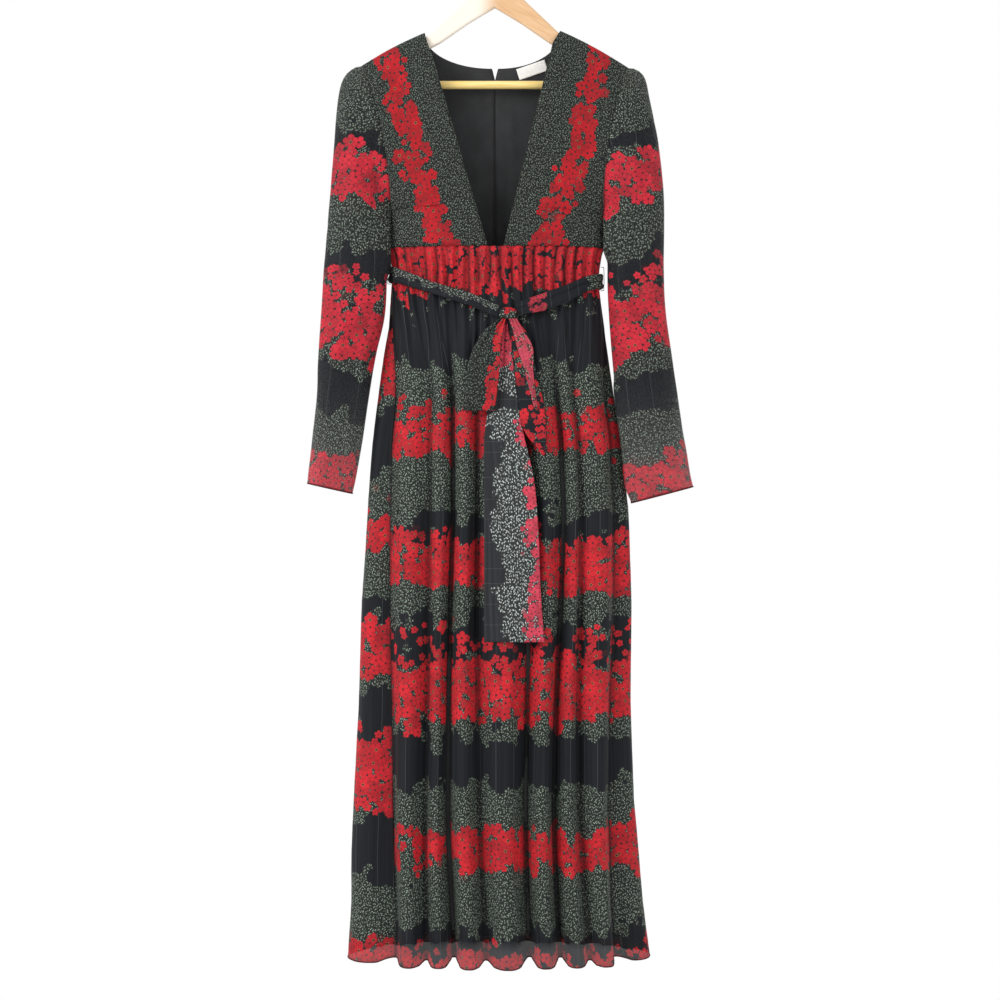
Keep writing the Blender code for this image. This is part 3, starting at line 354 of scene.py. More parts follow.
def new_group(name: str, inputs: dict[str, str], outputs: dict[str, str]
              ) -> tuple[Weaver, bpy.types.Node, bpy.types.Node]:
    """Start a node group.

    Args:
        name: Its name.
        inputs: Socket names and types, such as Float, Vector and Color.
        outputs: The same for what it puts out.

    Returns:
        A weaver for it, its input node and its output node.
    """
    tree = bpy.data.node_groups.new(name, "ShaderNodeTree")
    for way, sockets in (("INPUT", inputs), ("OUTPUT", outputs)):
        for label, kind in sockets.items():
            tree.interface.new_socket(label, in_out=way, socket_type="NodeSocket" + kind)
    return Weaver(tree), tree.nodes.new("NodeGroupInput"), tree.nodes.new("NodeGroupOutput")


def cell_offsets(weaver: Weaver, source: bpy.types.Node, randomness: float, tall: float = 1.0
                 ) -> tuple[bpy.types.NodeOutputs, Socket, Socket]:
    """Scatter cells over the cloth.

    Args:
        weaver: Of the group being made.
        source: The group's input node, with Vector, Spacing and Shift.
        randomness: Of the cells' places.
        tall: A cell's height as a share of its width.

    Returns:
        Three random values of the cell, the offset from its centre in metres, and that centre.
    """
    spacing, shift = source.outputs["Spacing"], source.outputs["Shift"]
    inverse = weaver.math("DIVIDE", 1.0, spacing)
    narrow = weaver.vector("MULTIPLY", source.outputs["Vector"], (1.0, 1.0 / tall, 1.0))
    place = weaver.vector("ADD", weaver.scaled(narrow, inverse), shift)
    cells = weaver.add("TexVoronoi", {"Vector": place, "Scale": 1.0, "Randomness": randomness},
                       voronoi_dimensions="2D").outputs
    offset, centre = (
        weaver.vector("MULTIPLY", weaver.scaled(weaver.vector("SUBTRACT", *ends), spacing),
                      (1.0, tall, 1.0))
        for ends in ((place, cells["Position"]), (cells["Position"], shift)))
    return weaver.split(cells["Color"], "Color"), offset, centre


@cache
def petals() -> bpy.types.NodeTree:
    """Scattered flowers of five round petals with thin dark outlines."""
    weaver, source, sink = new_group(
        "petals", {"Vector": "Vector", "Spacing": "Float", "Radius": "Float", "Shift": "Vector"},
        {"Centre": "Vector", "Bloom": "Float", "Shade": "Float", "Heart": "Float",
         "Random": "Float"})
    random, offset, centre = cell_offsets(weaver, source, 0.85)
    away = weaver.split(offset)
    size = weaver.times(source.outputs["Radius"], weaver.line(random[1], 0.34, 0.80))
    reach = weaver.math("DIVIDE", weaver.vector("LENGTH", offset), size)
    turn = weaver.math("ARCTAN2", away[1], away[0])
    petal = weaver.math("FRACT", weaver.line(turn, PETALS / (2 * math.pi), random[0]))
    lean = weaver.line(petal, 2 * math.pi / PETALS, -math.pi / PETALS)
    along = weaver.line(weaver.times(reach, weaver.math("COSINE", lean)), 1 / PETAL_LONG,
                        -PETAL_CENTRE / PETAL_LONG)
    beside = weaver.times(weaver.times(reach, weaver.math("SINE", lean)), 1 / PETAL_WIDE)
    ratio = weaver.math("SQRT", weaver.math("ADD", weaver.times(along, along),
                                            weaver.times(beside, beside)))
    bloom = weaver.math("MAXIMUM", weaver.step(ratio, 1.06, 1.16, 1.0, 0.0),
                        weaver.step(reach, 0.28, 0.34, 1.0, 0.0))
    edge = weaver.off(petal, 0.5)
    parting = weaver.step(edge, 0.42, 0.5, 1.0, 0.5)
    rim = weaver.step(ratio, 0.90, 1.06, 1.0, 0.15)
    middle = weaver.step(reach, 0.08, 0.22, 0.45, 1.0)
    shade = weaver.times(weaver.times(rim, parting), middle)
    dots = weaver.times(weaver.step(edge, 0.1, 0.25, 1.0, 0.0),
                        weaver.step(weaver.off(reach, 0.17), 0.03, 0.08, 1.0, 0.0))
    heart = weaver.times(dots, weaver.step(random[1], 0.72, 0.76))
    weaver.fill(sink, {"Centre": centre, "Bloom": bloom, "Shade": shade, "Heart": heart,
                       "Random": random[2]})
    return weaver.tree


@cache
def leaves() -> bpy.types.NodeTree:
    """Scattered small pointed leaves that stand more or less upright."""
    weaver, source, sink = new_group(
        "leaves", {"Vector": "Vector", "Spacing": "Float", "Length": "Float", "Width": "Float",
                   "Shift": "Vector"},
        {"Centre": "Vector", "Leaf": "Float", "Random": "Float"})
    random, offset, centre = cell_offsets(weaver, source, 0.95, 1.3)
    away = weaver.split(offset)
    lean = weaver.line(random[0], 2.0, 0.57)
    cosine, sine = weaver.math("COSINE", lean), weaver.math("SINE", lean)
    along = weaver.math("ADD", weaver.times(away[0], cosine), weaver.times(away[1], sine))
    across = weaver.minus(weaver.times(away[1], cosine), weaver.times(away[0], sine))
    size = weaver.line(random[1], 0.4, 0.8)
    half = weaver.math("DIVIDE", along, weaver.times(source.outputs["Length"], size))
    body = weaver.math("ADD", weaver.times(half, half), weaver.math(
        "DIVIDE", weaver.math("ABSOLUTE", across), source.outputs["Width"]))
    weaver.fill(sink, {"Centre": centre, "Leaf": weaver.step(body, 0.75, 1.15, 1.0, 0.0),
                       "Random": random[2]})
    return weaver.tree


@cache
def crepe() -> bpy.types.NodeTree:
    """The cloth's own surface: a fine crinkle, and slubs along its length."""
    weaver, source, sink = new_group("crepe", {"Vector": "Vector", "Grain": "Float"},
                                     {"Height": "Float", "Streak": "Float"})
    fine = weaver.noise(source.outputs["Vector"], source.outputs["Grain"])
    slub = weaver.noise(weaver.vector("MULTIPLY", source.outputs["Vector"], SLUBS), 1.0)
    weaver.fill(sink, {"Height": weaver.line(slub, 0.5, fine), "Streak": slub})
    return weaver.tree


# ---------------------------------------------------------------- finishes
@dataclass(frozen=True)
class Chart:
    """Where flowers and leaves lie along a cloth, one row to a place in mm.

    A row is (place, flowers, leaves) with shares from 0 to 1.  Where spread isn't 0, a fourth
    value is the line across the cloth that the flowers keep to.
    """

    name: str
    rows: Table
    spread: float = 0.0         # how fast the flowers end beside their line, per metre
    lean: float = 0.0           # how much more leaves grow across the cloth, per metre
    tilt: float = 0.0           # how far the rows slant
    holes: float = 4.0          # how many flowers are missing
    leaf_holes: float = 2.0     # how many leaves are missing
    wander: float = 0.085       # metres that the rows' edges stray
    mirror: bool = False

    @cache
    def zones(self) -> bpy.types.NodeTree:
        """A group that tells whether a flower, a bud or a leaf grows at a place."""
        weaver, source, sink = new_group("zones_" + self.name, {"Vector": "Vector"},
                                         {"Flower": "Float", "Bud": "Float", "Leaf": "Float"})
        place = weaver.split(source.outputs[0])
        across = weaver.math("ABSOLUTE", place[0]) if self.mirror else place[0]
        down = weaver.line(across, -self.tilt, place[1])
        stray, patch = (
            weaver.split(weaver.noise(source.outputs[0], scale, detail, "Color"), "Color")
            for scale, detail in ((25.0, 1.5), (55.0, 1.0)))
        first, last = self.rows[0][0] * MM, self.rows[-1][0] * MM
        reads = []
        for column, wander in ((1, self.wander), (2, self.wander * 1.3)):
            moved = weaver.line(weaver.minus(stray[column], 0.5), wander, down)
            share = weaver.math("DIVIDE", weaver.minus(moved, first), last - first)
            ramp = weaver.add("ValToRGB", {0: share})
            stops = ramp.color_ramp.elements
            while len(stops) < len(self.rows):
                stops.new(1.0)
            for stop, row in zip(stops, self.rows):
                stop.position = (row[0] * MM - first) / (last - first)
                middle = row[3] if self.spread else 0.0
                stop.color = (row[column], middle * MM * 2.0 + 0.5, 0.0, 1.0)
            reads.append(weaver.split(ramp.outputs[0], "Color"))
        away = weaver.off(across, weaver.line(reads[0][1], 0.5, -0.25))
        flower = weaver.math("MAXIMUM", weaver.line(away, -self.spread, reads[0][0]), 0.0)
        leaf = weaver.line(across, self.lean, reads[1][0])
        kinds = (("Flower", flower, patch[0], self.holes, 0.5),
                 ("Bud", flower, patch[1], self.holes, 0.3),
                 ("Leaf", leaf, patch[2], self.leaf_holes, 0.5))
        weaver.fill(sink, {name: weaver.step(
            weaver.times(value, weaver.line(weaver.minus(noise, 0.5), holes, 1.0)),
            least - 0.02, least + 0.02) for name, value, noise, holes, least in kinds})
        return weaver.tree


class Run(Enum):
    """Which way the fine pale lines in the cloth run on its flat sizes."""

    DOWN = 0
    ACROSS = 1


@dataclass(frozen=True)
class PrintedChiffon:
    """Sheer black crepe printed with red flowers and small grey-green leaves."""

    name: str
    chart: Chart
    red: Colour = (0.60, 0.017, 0.027)
    dark_red: Colour = (0.035, 0.014, 0.015)
    heart: Colour = (0.28, 0.24, 0.10)
    leaf: Colour = (0.220, 0.270, 0.216)
    ground: Colour = (0.0074, 0.0088, 0.0118)
    pale: Colour = (0.055, 0.062, 0.064)        # of the fine lines
    painted_fold_shade: Colour = (0.004, 0.004, 0.005)        # painted shade: the colour down in a fold or gather
    leaf_size: tuple[float, float, float] = (2.9, 1.25, 0.62)  # mm apart, half long, half wide
    under: float = 0.10         # tone of the cloth between leaves, as a share of the leaf's
    flower_scale: float = 1.0
    lines: Run = Run.DOWN
    line_step: float = 0.031    # metres from line to line
    cover: float = 1.0          # opacity of one face of the cloth
    sheer_from: float = 0.0     # drop in mm below which there is no lining behind; 0 for none
    sheer_cover: float = 0.77   # opacity there
    thin_fold: float = 1.0      # share of the cover that is left at the fold u = 0
    thin_cap: float = 1.0       # the same at a sleeve's cap
    thin_cuff: float = 1.0      # the same at its cuff
    slot: str = "printed_chiffon"

    def growth(self, weaver: Weaver, flat: Socket, colour: Socket) -> Socket:
        """The print, over the cloth's own colour.

        Args:
            weaver: Of the material.
            flat: Places on the flat cloth.
            colour: Of the cloth without print.

        Returns:
            The printed colour.
        """
        zones = self.chart.zones()
        apart, length, width = (size * MM for size in self.leaf_size)
        sprig = weaver.group(leaves(), {"Vector": flat, "Spacing": apart, "Length": length,
                                        "Width": width, "Shift": LEAF_SHIFT})
        grows = weaver.group(zones, {"Vector": sprig["Centre"]})["Leaf"]
        tone = weaver.line(sprig["Random"], 1.1, 0.45)
        under = tuple(part * self.under for part in self.leaf)
        colour = weaver.mix(weaver.times(grows, 0.75), colour, under)
        colour = weaver.mix(weaver.times(sprig["Leaf"], grows), colour,
                            weaver.toned(self.leaf, tone))
        fade = weaver.step(weaver.noise(flat, 22.0), 0.35, 0.62, 0.78, 1.0)
        red = weaver.toned(self.red, fade)
        dabs = weaver.step(weaver.noise(flat, 340.0, 1.0), 0.62, 0.70, 1.0, 0.4)
        for kind, spacing, radius, shift in BLOOMS:
            bloom = weaver.group(petals(), {"Vector": flat, "Spacing": spacing * self.flower_scale,
                                            "Radius": radius * self.flower_scale,
                                            "Shift": shift})
            grows = weaver.group(zones, {"Vector": bloom["Centre"]})[kind]
            fresh = weaver.times(dabs, weaver.line(bloom["Random"], 0.40, 0.68))
            tint = weaver.mix(weaver.times(bloom["Shade"], fresh), self.dark_red, red)
            tint = weaver.mix(bloom["Heart"], tint, self.heart)
            colour = weaver.mix(weaver.times(bloom["Bloom"], grows), colour, tint)
        return colour

    def pale_lines(self, weaver: Weaver, flat: Socket) -> Socket:
        """A mask of fine lines at uneven steps."""
        place = weaver.split(flat)[self.lines.value]
        cell = weaver.times(place, 1 / self.line_step)
        jitter = weaver.add("TexWhiteNoise", {"W": weaver.math("FLOOR", cell)},
                            noise_dimensions="1D").outputs["Value"]
        off = weaver.off(weaver.math("FRACT", cell), weaver.line(jitter, 0.6, 0.2))
        return weaver.step(off, 0.006, 0.016, 0.8, 0.0)

    def opacity(self, weaver: Weaver, flat: Socket) -> Socket:
        """The cloth's opacity, by the place on the flat cloth."""
        place = weaver.split(flat)
        if self.sheer_from:
            edge = self.sheer_from * MM
            return weaver.step(place[1], edge - 0.006, edge + 0.026, 1.0, self.sheer_cover)
        fold = weaver.step(weaver.math("ABSOLUTE", place[0]), 0.006, 0.050,
                           self.cover * self.thin_fold, self.cover)
        cuff = weaver.step(place[1], 0.46, 0.66, 1.0, self.thin_cuff)
        cap = weaver.step(place[1], 0.055, 0.105, self.thin_cap, 1.0)
        return weaver.times(fold, weaver.times(cuff, cap))

    @cache
    def material(self) -> bpy.types.Material:
        """The cloth's material, printed by its own flat sizes, with painted shade in its fold and
        gather valleys.
        """
        shade, weaver = new_material(self.name)
        flat = weaver.add("UVMap", uv_map="cloth").outputs[0]
        surface = weaver.group(crepe(), {"Vector": flat, "Grain": 1100.0})
        streak = weaver.step(surface["Streak"], 0.3, 0.75, 0.78, 1.35)
        colour = weaver.mix(self.pale_lines(weaver, flat), self.ground, self.pale)
        colour = self.growth(weaver, flat, weaver.toned(colour, streak))
        # painted shade: the colour goes towards near black where the crease attribute marks a fold
        # or gather valley
        crease = weaver.add("Attribute", attribute_name="crease").outputs["Fac"]
        weaver.dress({"Base Color": weaver.mix(crease, colour, self.painted_fold_shade),
                      "Alpha": self.opacity(weaver, flat), "Roughness": 0.72,
                      "Specular IOR Level": 0.2, "Sheen Weight": 0.04,
                      "Sheen Roughness": 0.45}, surface["Height"], 0.35, 0.0004)
        return shade


@dataclass(frozen=True)
class PlainWeave:
    """A cloth of one colour with warp and weft threads."""

    name: str
    colour: Colour
    thread: float               # mm from thread to thread
    roughness: float
    worn: float = 0.25          # how much its tone varies
    slot: str = "black_lining"

    @cache
    def material(self) -> bpy.types.Material:
        """The cloth's material."""
        shade, weaver = new_material(self.name)
        flat = weaver.add("UVMap", uv_map="cloth").outputs[0]
        turns = 2 * math.pi / (self.thread * MM)
        warp, weft = (weaver.math("COSINE", weaver.times(axis, turns))
                      for axis in weaver.split(flat)[:2])
        height = weaver.times(warp, weft)
        cloud = weaver.noise(flat, 22.0, 3.0)
        tone = weaver.math("ADD", weaver.step(cloud, 0.3, 0.7, 1 - self.worn, 1 + self.worn),
                           weaver.times(height, 0.05))
        weaver.dress({"Base Color": weaver.toned(self.colour, tone),
                      "Roughness": self.roughness, "Specular IOR Level": 0.3,
                      "Sheen Weight": 0.12}, height, 0.3, 0.0002)
        return shade


@dataclass(frozen=True)
class Timber:
    """Varnished wood whose grain runs along the hanger's arms or bar."""

    name: str
    pale: Colour
    dark: Colour
    slope: float                # degrees that the arms fall from the level
    rough: float
    painted_highlight: Colour | None = None     # painted highlight: the paler colour of the left side, where it differs, as where the light falls
    stretch: tuple[float, float] = (7.0, 90.0)  # the grain's scale along and across

    @cache
    def material(self) -> bpy.types.Material:
        """The wood's material."""
        shade, weaver = new_material(self.name)
        place = weaver.split(weaver.add("TexCoord").outputs["Object"])
        out = weaver.math("ABSOLUTE", place[0])
        lean = math.radians(self.slope)
        cosine, sine = math.cos(lean), math.sin(lean)
        along = weaver.minus(weaver.times(out, cosine), weaver.times(place[2], sine))
        across = weaver.math("ADD", weaver.times(out, sine), weaver.times(place[2], cosine))
        long, close = self.stretch
        grain = weaver.add("CombineXYZ", {0: weaver.times(along, long),
                                          1: weaver.times(place[1], close),
                                          2: weaver.times(across, close)}).outputs[0]
        rings = weaver.noise(grain, 1.0, 4.0)
        fine = weaver.noise(grain, 5.0, 3.0)
        tone = weaver.line(fine, 0.35, weaver.times(rings, 0.65))
        colour = weaver.mix(weaver.step(tone, 0.36, 0.66), self.pale, self.dark)
        # painted highlight: the left arm turns paler, as if lit by the light from the upper left
        if self.painted_highlight:
            colour = weaver.mix(weaver.step(place[0], -0.03, 0.01, 0.75, 0.0), colour,
                                self.painted_highlight)
        weaver.dress({"Base Color": colour, "Roughness": weaver.step(
            fine, 0.2, 0.8, self.rough, self.rough + 0.14), "Coat Weight": 0.25},
            tone, 0.25, 0.0003)
        return shade


@dataclass(frozen=True)
class Hardware:
    """Metal or thread with fine marks and a little wear."""

    name: str
    colour: Colour
    worn: Colour
    metallic: float
    rough: float
    marks: tuple[float, float, float] = (400.0, 400.0, 60.0)
    slot: str = "black_thread"  # of the pieces that it is put on here

    @cache
    def material(self) -> bpy.types.Material:
        """The material, marked in the part's own space."""
        shade, weaver = new_material(self.name)
        place = weaver.add("TexCoord").outputs["Object"]
        brushed = weaver.noise(weaver.vector("MULTIPLY", place, self.marks), 1.0, 3.0)
        patches = weaver.step(weaver.noise(place, 160.0, 3.0), 0.55, 0.8)
        weaver.dress({"Base Color": weaver.mix(patches, self.colour, self.worn),
                      "Roughness": weaver.step(brushed, 0.2, 0.8, self.rough * 0.8,
                                               self.rough * 1.3),
                      "Metallic": self.metallic}, brushed, 0.2, 0.0002)
        return shade


SKIRT_CHART = Chart("skirt", (
    (386, 0.8, 0.3), (396, 0, 0.42), (426, 0, 0.42), (434, 0, 0), (490, 0, 0), (504, 0, 1),
    (566, 0.3, 1), (580, 0.95, 1), (620, 0.95, 1), (632, 0.1, 1), (712, 0, 1), (730, 0, 0),
    (750, 0.3, 0), (764, 0.95, 0.9), (820, 0.95, 0.9), (830, 0, 1), (856, 0, 1), (894, 0.3, 0),
    (938, 0.38, 0.5), (954, 0.95, 0.9), (1016, 0.95, 0.9), (1028, 0.1, 0.9), (1060, 0, 0),
    (1104, 0, 0), (1124, 0, 1), (1172, 0.1, 1), (1186, 0.92, 1), (1226, 0.92, 1),
    (1238, 0.1, 1), (1318, 0, 1), (1336, 0, 0), (1380, 0.72, 0)))
SKIRT_BACK_CHART = Chart("skirt_back", (
    (300, 0.8, 0.2), (386, 0.8, 0.3), (396, 0, 0.5), (430, 0, 0.5), (438, 0, 0), (450, 0.3, 0),
    (466, 0.95, 0.9), (536, 0.95, 0.9), (546, 0, 1), (560, 0, 0), (636, 0, 0), (650, 0, 1),
    (714, 0.3, 1), (726, 0.95, 1), (770, 0.95, 1), (780, 0, 1), (834, 0, 1), (846, 0, 0),
    (872, 0.3, 0.3), (892, 0.95, 0.9), (956, 0.95, 0.9), (966, 0, 1), (1000, 0, 0),
    (1034, 0.3, 0.3), (1050, 0.95, 0.9), (1148, 0.95, 0.9), (1158, 0, 0.8), (1172, 0, 0),
    (1246, 0, 0), (1262, 0, 1), (1330, 0, 1), (1345, 0.9, 0.8)))
BODICE_CHART = Chart("bodice", (
    (-20, 1.0, 1, 172), (50, 1.0, 1, 163), (100, 1.0, 1, 146), (150, 1.0, 1, 136),
    (200, 1.0, 1, 118), (250, 1.0, 1, 98), (300, 1.0, 1, 82), (330, 1.0, 1, 75)),
    spread=30.0, holes=5.2, wander=0.05, mirror=True)
SLEEVE_CHART = Chart("sleeve", (
    (30, 0, 1), (122, 0, 1), (134, 0, 0), (154, 0.2, 0), (168, 0.95, 0.9), (226, 0.95, 0.9),
    (236, 0, 1), (300, 0, 1), (314, 0, 0), (324, 0.2, 0), (338, 0.36, 0.4), (368, 0.42, 0.6),
    (386, 0.95, 0.9), (456, 0.95, 0.9), (466, 0, 0.9), (484, 0, 0.8), (494, 0, 0), (536, 0, 0),
    (552, 0, 1), (610, 0.2, 1), (626, 0.75, 1), (700, 0.85, 1)),
    tilt=0.34, wander=0.07, mirror=True)
BELT_LEFT_CHART = Chart("belt_left", (
    (-200, 0, 1.0), (-110, 0, 1.15), (0, 0, 1.15), (40, 0.4, 0.9)), lean=-55.0, wander=0.02)
BELT_RIGHT_CHART = Chart("belt_right", (
    (0, 0, 0.4), (50, 0, 0), (58, 0.95, 0.5), (72, 0.95, 0.3), (78, 0, 0), (140, 0, 0),
    (152, 0, 1), (175, 0, 1)), wander=0.02)
BELT_BACK_CHART = Chart("belt_back", (
    (-170, 0.1, 0.8), (-60, 0.5, 0.5), (20, 0.1, 0.9), (90, 0.6, 0.2), (170, 0.1, 0.7)))
KNOT_CHART = Chart("knot", (
    (-40, 0, 1), (-4, 0, 1), (0, 0.6, 0.3), (6, 0.95, 0), (40, 0.95, 0)), wander=0.01)
LOOP_LEFT_CHART = Chart("loop_left", ((420, 1.0, 0.9, 13), (474, 1.0, 1, 20),
                                      (480, 0.3, 1, 20), (490, 0.3, 1, 20), (496, 1.0, 1, 20),
                                      (575, 1.0, 1, 18)), spread=55.0, holes=2.0, wander=0.02)
LOOP_RIGHT_CHART = Chart("loop_right", (
    (420, 0.5, 0.9), (575, 0.5, 0.9)))
TAIL_SHORT_CHART = Chart("tail_short", (
    (420, 0.34, 0.3), (500, 0.30, 0.6), (560, 0.36, 0.3), (640, 0.34, 0.5)), holes=5.0)
TAIL_LONG_CHART = Chart("tail_long", (
    (420, 1.0, 0.4, 4), (496, 0.9, 0.4, 6), (506, 0, 1.0, 20), (536, 0, 1.0, 20),
    (544, 0, 0, 20), (560, 0, 0, 20), (568, 0.6, 1.35, 26), (590, 0.75, 1.2, 29),
    (608, 0.8, 0.55, 31), (622, 0.4, 0.65, 32), (645, 0.4, 0.86, 32), (668, 0.4, 1.12, 33),
    (682, 0.9, 1.1, 33), (700, 0.9, 1.05, 33), (708, 0.3, 1.1, 34), (725, 0.3, 1.27, 35),
    (732, 0.95, 1.25, 35), (755, 0.95, 1.2, 36), (780, 0.9, 0.8, 36), (792, 0.4, 0.7, 37),
    (806, 0.8, 0.66, 38), (828, 0.85, 1.3, 38), (846, 0.9, 1.03, 37), (865, 1.0, 0.9, 37),
    (906, 1.05, 1.07, 36)),
    spread=34.0, lean=24.0, wander=0.025)

SKIRT_PRINT = PrintedChiffon("printed_skirt", SKIRT_CHART, sheer_from=LINING_HEM_DROP)
SKIRT_BACK_PRINT = PrintedChiffon("printed_skirt_back", SKIRT_BACK_CHART,
                                  sheer_from=LINING_HEM_DROP)
# the bodice's red is darker than the skirt's: painted shade, as the bodice lies in shade
BODICE_PRINT = PrintedChiffon("printed_bodice", BODICE_CHART, red=(0.48, 0.009, 0.016),
                              leaf=(0.150, 0.180, 0.144), leaf_size=(2.5, 1.05, 0.52),
                              under=0.08)
SLEEVE_PRINT = PrintedChiffon("printed_sleeve", SLEEVE_CHART, red=(0.70, 0.024, 0.046),
                              leaf=(0.200, 0.242, 0.196), leaf_size=(3.0, 1.4, 0.68),
                              under=0.10, cover=0.75, thin_fold=0.88, thin_cap=0.90,
                              thin_cuff=0.74)
ROLLED = PrintedChiffon("dark_rolled_edge", Chart("rolled", ((0, 0, 0), (900, 0, 0))),
                        ground=(0.060, 0.011, 0.013))
BELT_LOOKS = (          # the stretch's node, its chart and what its print has of its own
    ("belt_front_left", BELT_LEFT_CHART, {"leaf": (0.26, 0.30, 0.26)}),
    ("belt_front_right", BELT_RIGHT_CHART, {"red": (0.42, 0.03, 0.05), "flower_scale": 0.6}),
    ("belt_back", BELT_BACK_CHART, {}),
    ("belt_knot", KNOT_CHART, {"flower_scale": 0.8}),
    ("bow_loop_left", LOOP_LEFT_CHART, {"leaf": (0.110, 0.134, 0.110), "flower_scale": 0.55}),
    ("bow_loop_right", LOOP_RIGHT_CHART,
     {"red": (0.54, 0.065, 0.10), "dark_red": (0.22, 0.02, 0.035),
      "ground": (0.12, 0.02, 0.03), "leaf": (0.42, 0.30, 0.25), "flower_scale": 0.55}),
    ("belt_tail_short", TAIL_SHORT_CHART, {"flower_scale": 0.8}),
    ("belt_tail_long", TAIL_LONG_CHART,
     {"red": (0.66, 0.06, 0.10), "leaf": (0.40, 0.445, 0.425),
      "ground": (0.0215, 0.0225, 0.0255), "leaf_size": (3.3, 1.65, 0.74), "under": 0.08,
      "flower_scale": 0.7}))
BELT_PRINTS = {node: PrintedChiffon("printed_" + chart.name, chart, lines=Run.ACROSS, **looks)
               for node, chart, looks in BELT_LOOKS}
LINING = PlainWeave("black_lining_cloth", (0.0190, 0.0200, 0.0218), 0.5, 0.62)
LABEL_CLOTH = PlainWeave("blank_label_cloth", (0.93, 0.92, 0.89), 0.4, 0.7, 0.05,
                         "white_woven_label")
# its last colour is a painted highlight on the left arm
ARM_WOOD = Timber("pale_wood", (0.82, 0.55, 0.32), (0.66, 0.38, 0.18), 28.0, 0.34,
                  (1.0, 0.96, 0.88))
BAR_WOOD = Timber("yellow_wood", (1.0, 0.80, 0.34), (0.84, 0.58, 0.16), 0.0, 0.3)
STEEL = Hardware("hook_steel", (0.72, 0.72, 0.73), (0.60, 0.60, 0.62), 1.0, 0.24)
ZIP_METAL = Hardware("zip_enamel", (0.035, 0.035, 0.04), (0.16, 0.15, 0.14), 0.6, 0.38)
THREAD = Hardware("black_thread", (0.022, 0.022, 0.024), (0.05, 0.05, 0.05), 0.0, 0.75,
                  (900.0, 900.0, 2400.0))
ZIP_TAPE = Hardware("zip_tape_cloth", (0.018, 0.018, 0.020), (0.03, 0.03, 0.03), 0.0, 0.8,
                    (1500.0, 1500.0, 1500.0))


# ---------------------------------------------------------------- cloth
@dataclass
class Cloth:
    """One piece of cloth: a grid of points of its outer face, and where they lie when flat.

    Rows run down the cloth and columns anticlockwise seen from above, so left to right on
    the front.  Both arrays are in millimetres.
    """

    name: str
    spots: Array
    flat: Array
    closed: bool = False
    wall: float = CLOTH_WALL
    shifts: Array | None = None    # moves of the flat place, by row and column of faces
    crease: Array | None = None    # 0 to 1, how strong the painted shade is deep in a fold or gather

    def normals(self) -> Array:
        """Outward directions at every point."""
        spots = self.spots
        if self.closed:
            across = np.roll(spots[:, :-1], -1, 1) - np.roll(spots[:, :-1], 1, 1)
            across = np.concatenate((across, across[:, :1]), axis=1)
        else:
            across = np.gradient(spots, axis=1)
        return unit(np.cross(across, -np.gradient(spots, axis=0)))

    def push(self, out: Array) -> "Cloth":
        """Move the cloth outwards by an amount at every point; returns the cloth."""
        self.spots = self.spots + self.normals() * out[:, :, None]
        return self

    def mesh(self) -> bpy.types.Mesh:
        """The cloth's surface, from a grid of quads moved into place."""
        rows, columns = self.spots.shape[:2]
        form = bmesh.new()
        bmesh.ops.create_grid(form, x_segments=columns - 1, y_segments=rows - 1, size=0.5)
        places = self.spots[::-1].reshape(-1, 3) * MM
        on_cloth = (self.flat[::-1].reshape(-1, 2) * MM).tolist()
        for vert, place in zip(form.verts, places.tolist()):
            vert.co = place
        layer = form.loops.layers.uv.new("cloth")
        # the crease layer carries the painted shade of the fold and gather valleys
        painted_fold_shade = form.verts.layers.float.new("crease")
        if self.crease is not None:
            for vert, value in zip(form.verts, self.crease[::-1].ravel().tolist()):
                vert[painted_fold_shade] = value
        shifts = None if self.shifts is None else (self.shifts[::-1] * MM).tolist()
        for face in form.faces:
            face.smooth = True
            first = min(loop.vert.index % columns for loop in face.loops)
            for loop in face.loops:
                u, v = on_cloth[loop.vert.index]
                if shifts:
                    u += shifts[loop.vert.index // columns][first]
                loop[layer].uv = (u, v)
        if self.closed:
            bmesh.ops.remove_doubles(form, verts=form.verts, dist=1e-6)
        return finished(self.name, form)

    def build(self, finish: PrintedChiffon | PlainWeave, *nodes: str) -> bpy.types.Object:
        """Make the cloth's object, with its thickness, finish and place in the frame.

        Args:
            finish: What it is made of.
            nodes: The solids it stands for.

        Returns:
            The object.
        """
        thing = add_piece(self.name, self.mesh(), finish, *nodes)
        solid = thing.modifiers.new("wall", "SOLIDIFY")
        solid.thickness = self.wall * MM
        solid.offset = -1.0
        solid.use_even_offset = False
        return thing

    def edge(self, name: str, where: tuple[slice | int, slice | int], radius: float
             ) -> "Cloth":
        """A rolled edge along one row or column of the cloth.

        Args:
            name: Of the new piece.
            where: The row or column, as an index into the grid.
            radius: Of the roll, mm.

        Returns:
            A narrow closed tube of the same cloth.
        """
        line, normal = self.spots[where], self.normals()[where]
        turns = np.linspace(0, 2 * np.pi, 9)
        spots = line[:, None] - normal[:, None] * (self.wall / 2) \
            + rings(line, normal, turns) * radius
        flat = self.flat[where][:, None] + pairs(turns * radius, 0.0)[None]
        return Cloth(name, spots, flat, closed=True)


def add_piece(name: str, mesh: bpy.types.Mesh,
              finish: PrintedChiffon | PlainWeave | Hardware, *nodes: str
              ) -> bpy.types.Object:
    """Link a mesh as a piece of the dress.

    Args:
        name: Of the piece.
        mesh: In metres, in the frame's place.
        finish: Its material.
        nodes: The solids it stands for.

    Returns:
        The object.
    """
    thing = bpy.data.objects.new(name, mesh)
    mesh.materials.append(finish.material())
    bpy.context.scene.collection.objects.link(thing)
    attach(thing, "garment")
    if nodes:
        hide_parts(*nodes)
    log.info("%s: %d faces", name, len(mesh.polygons))
    return thing


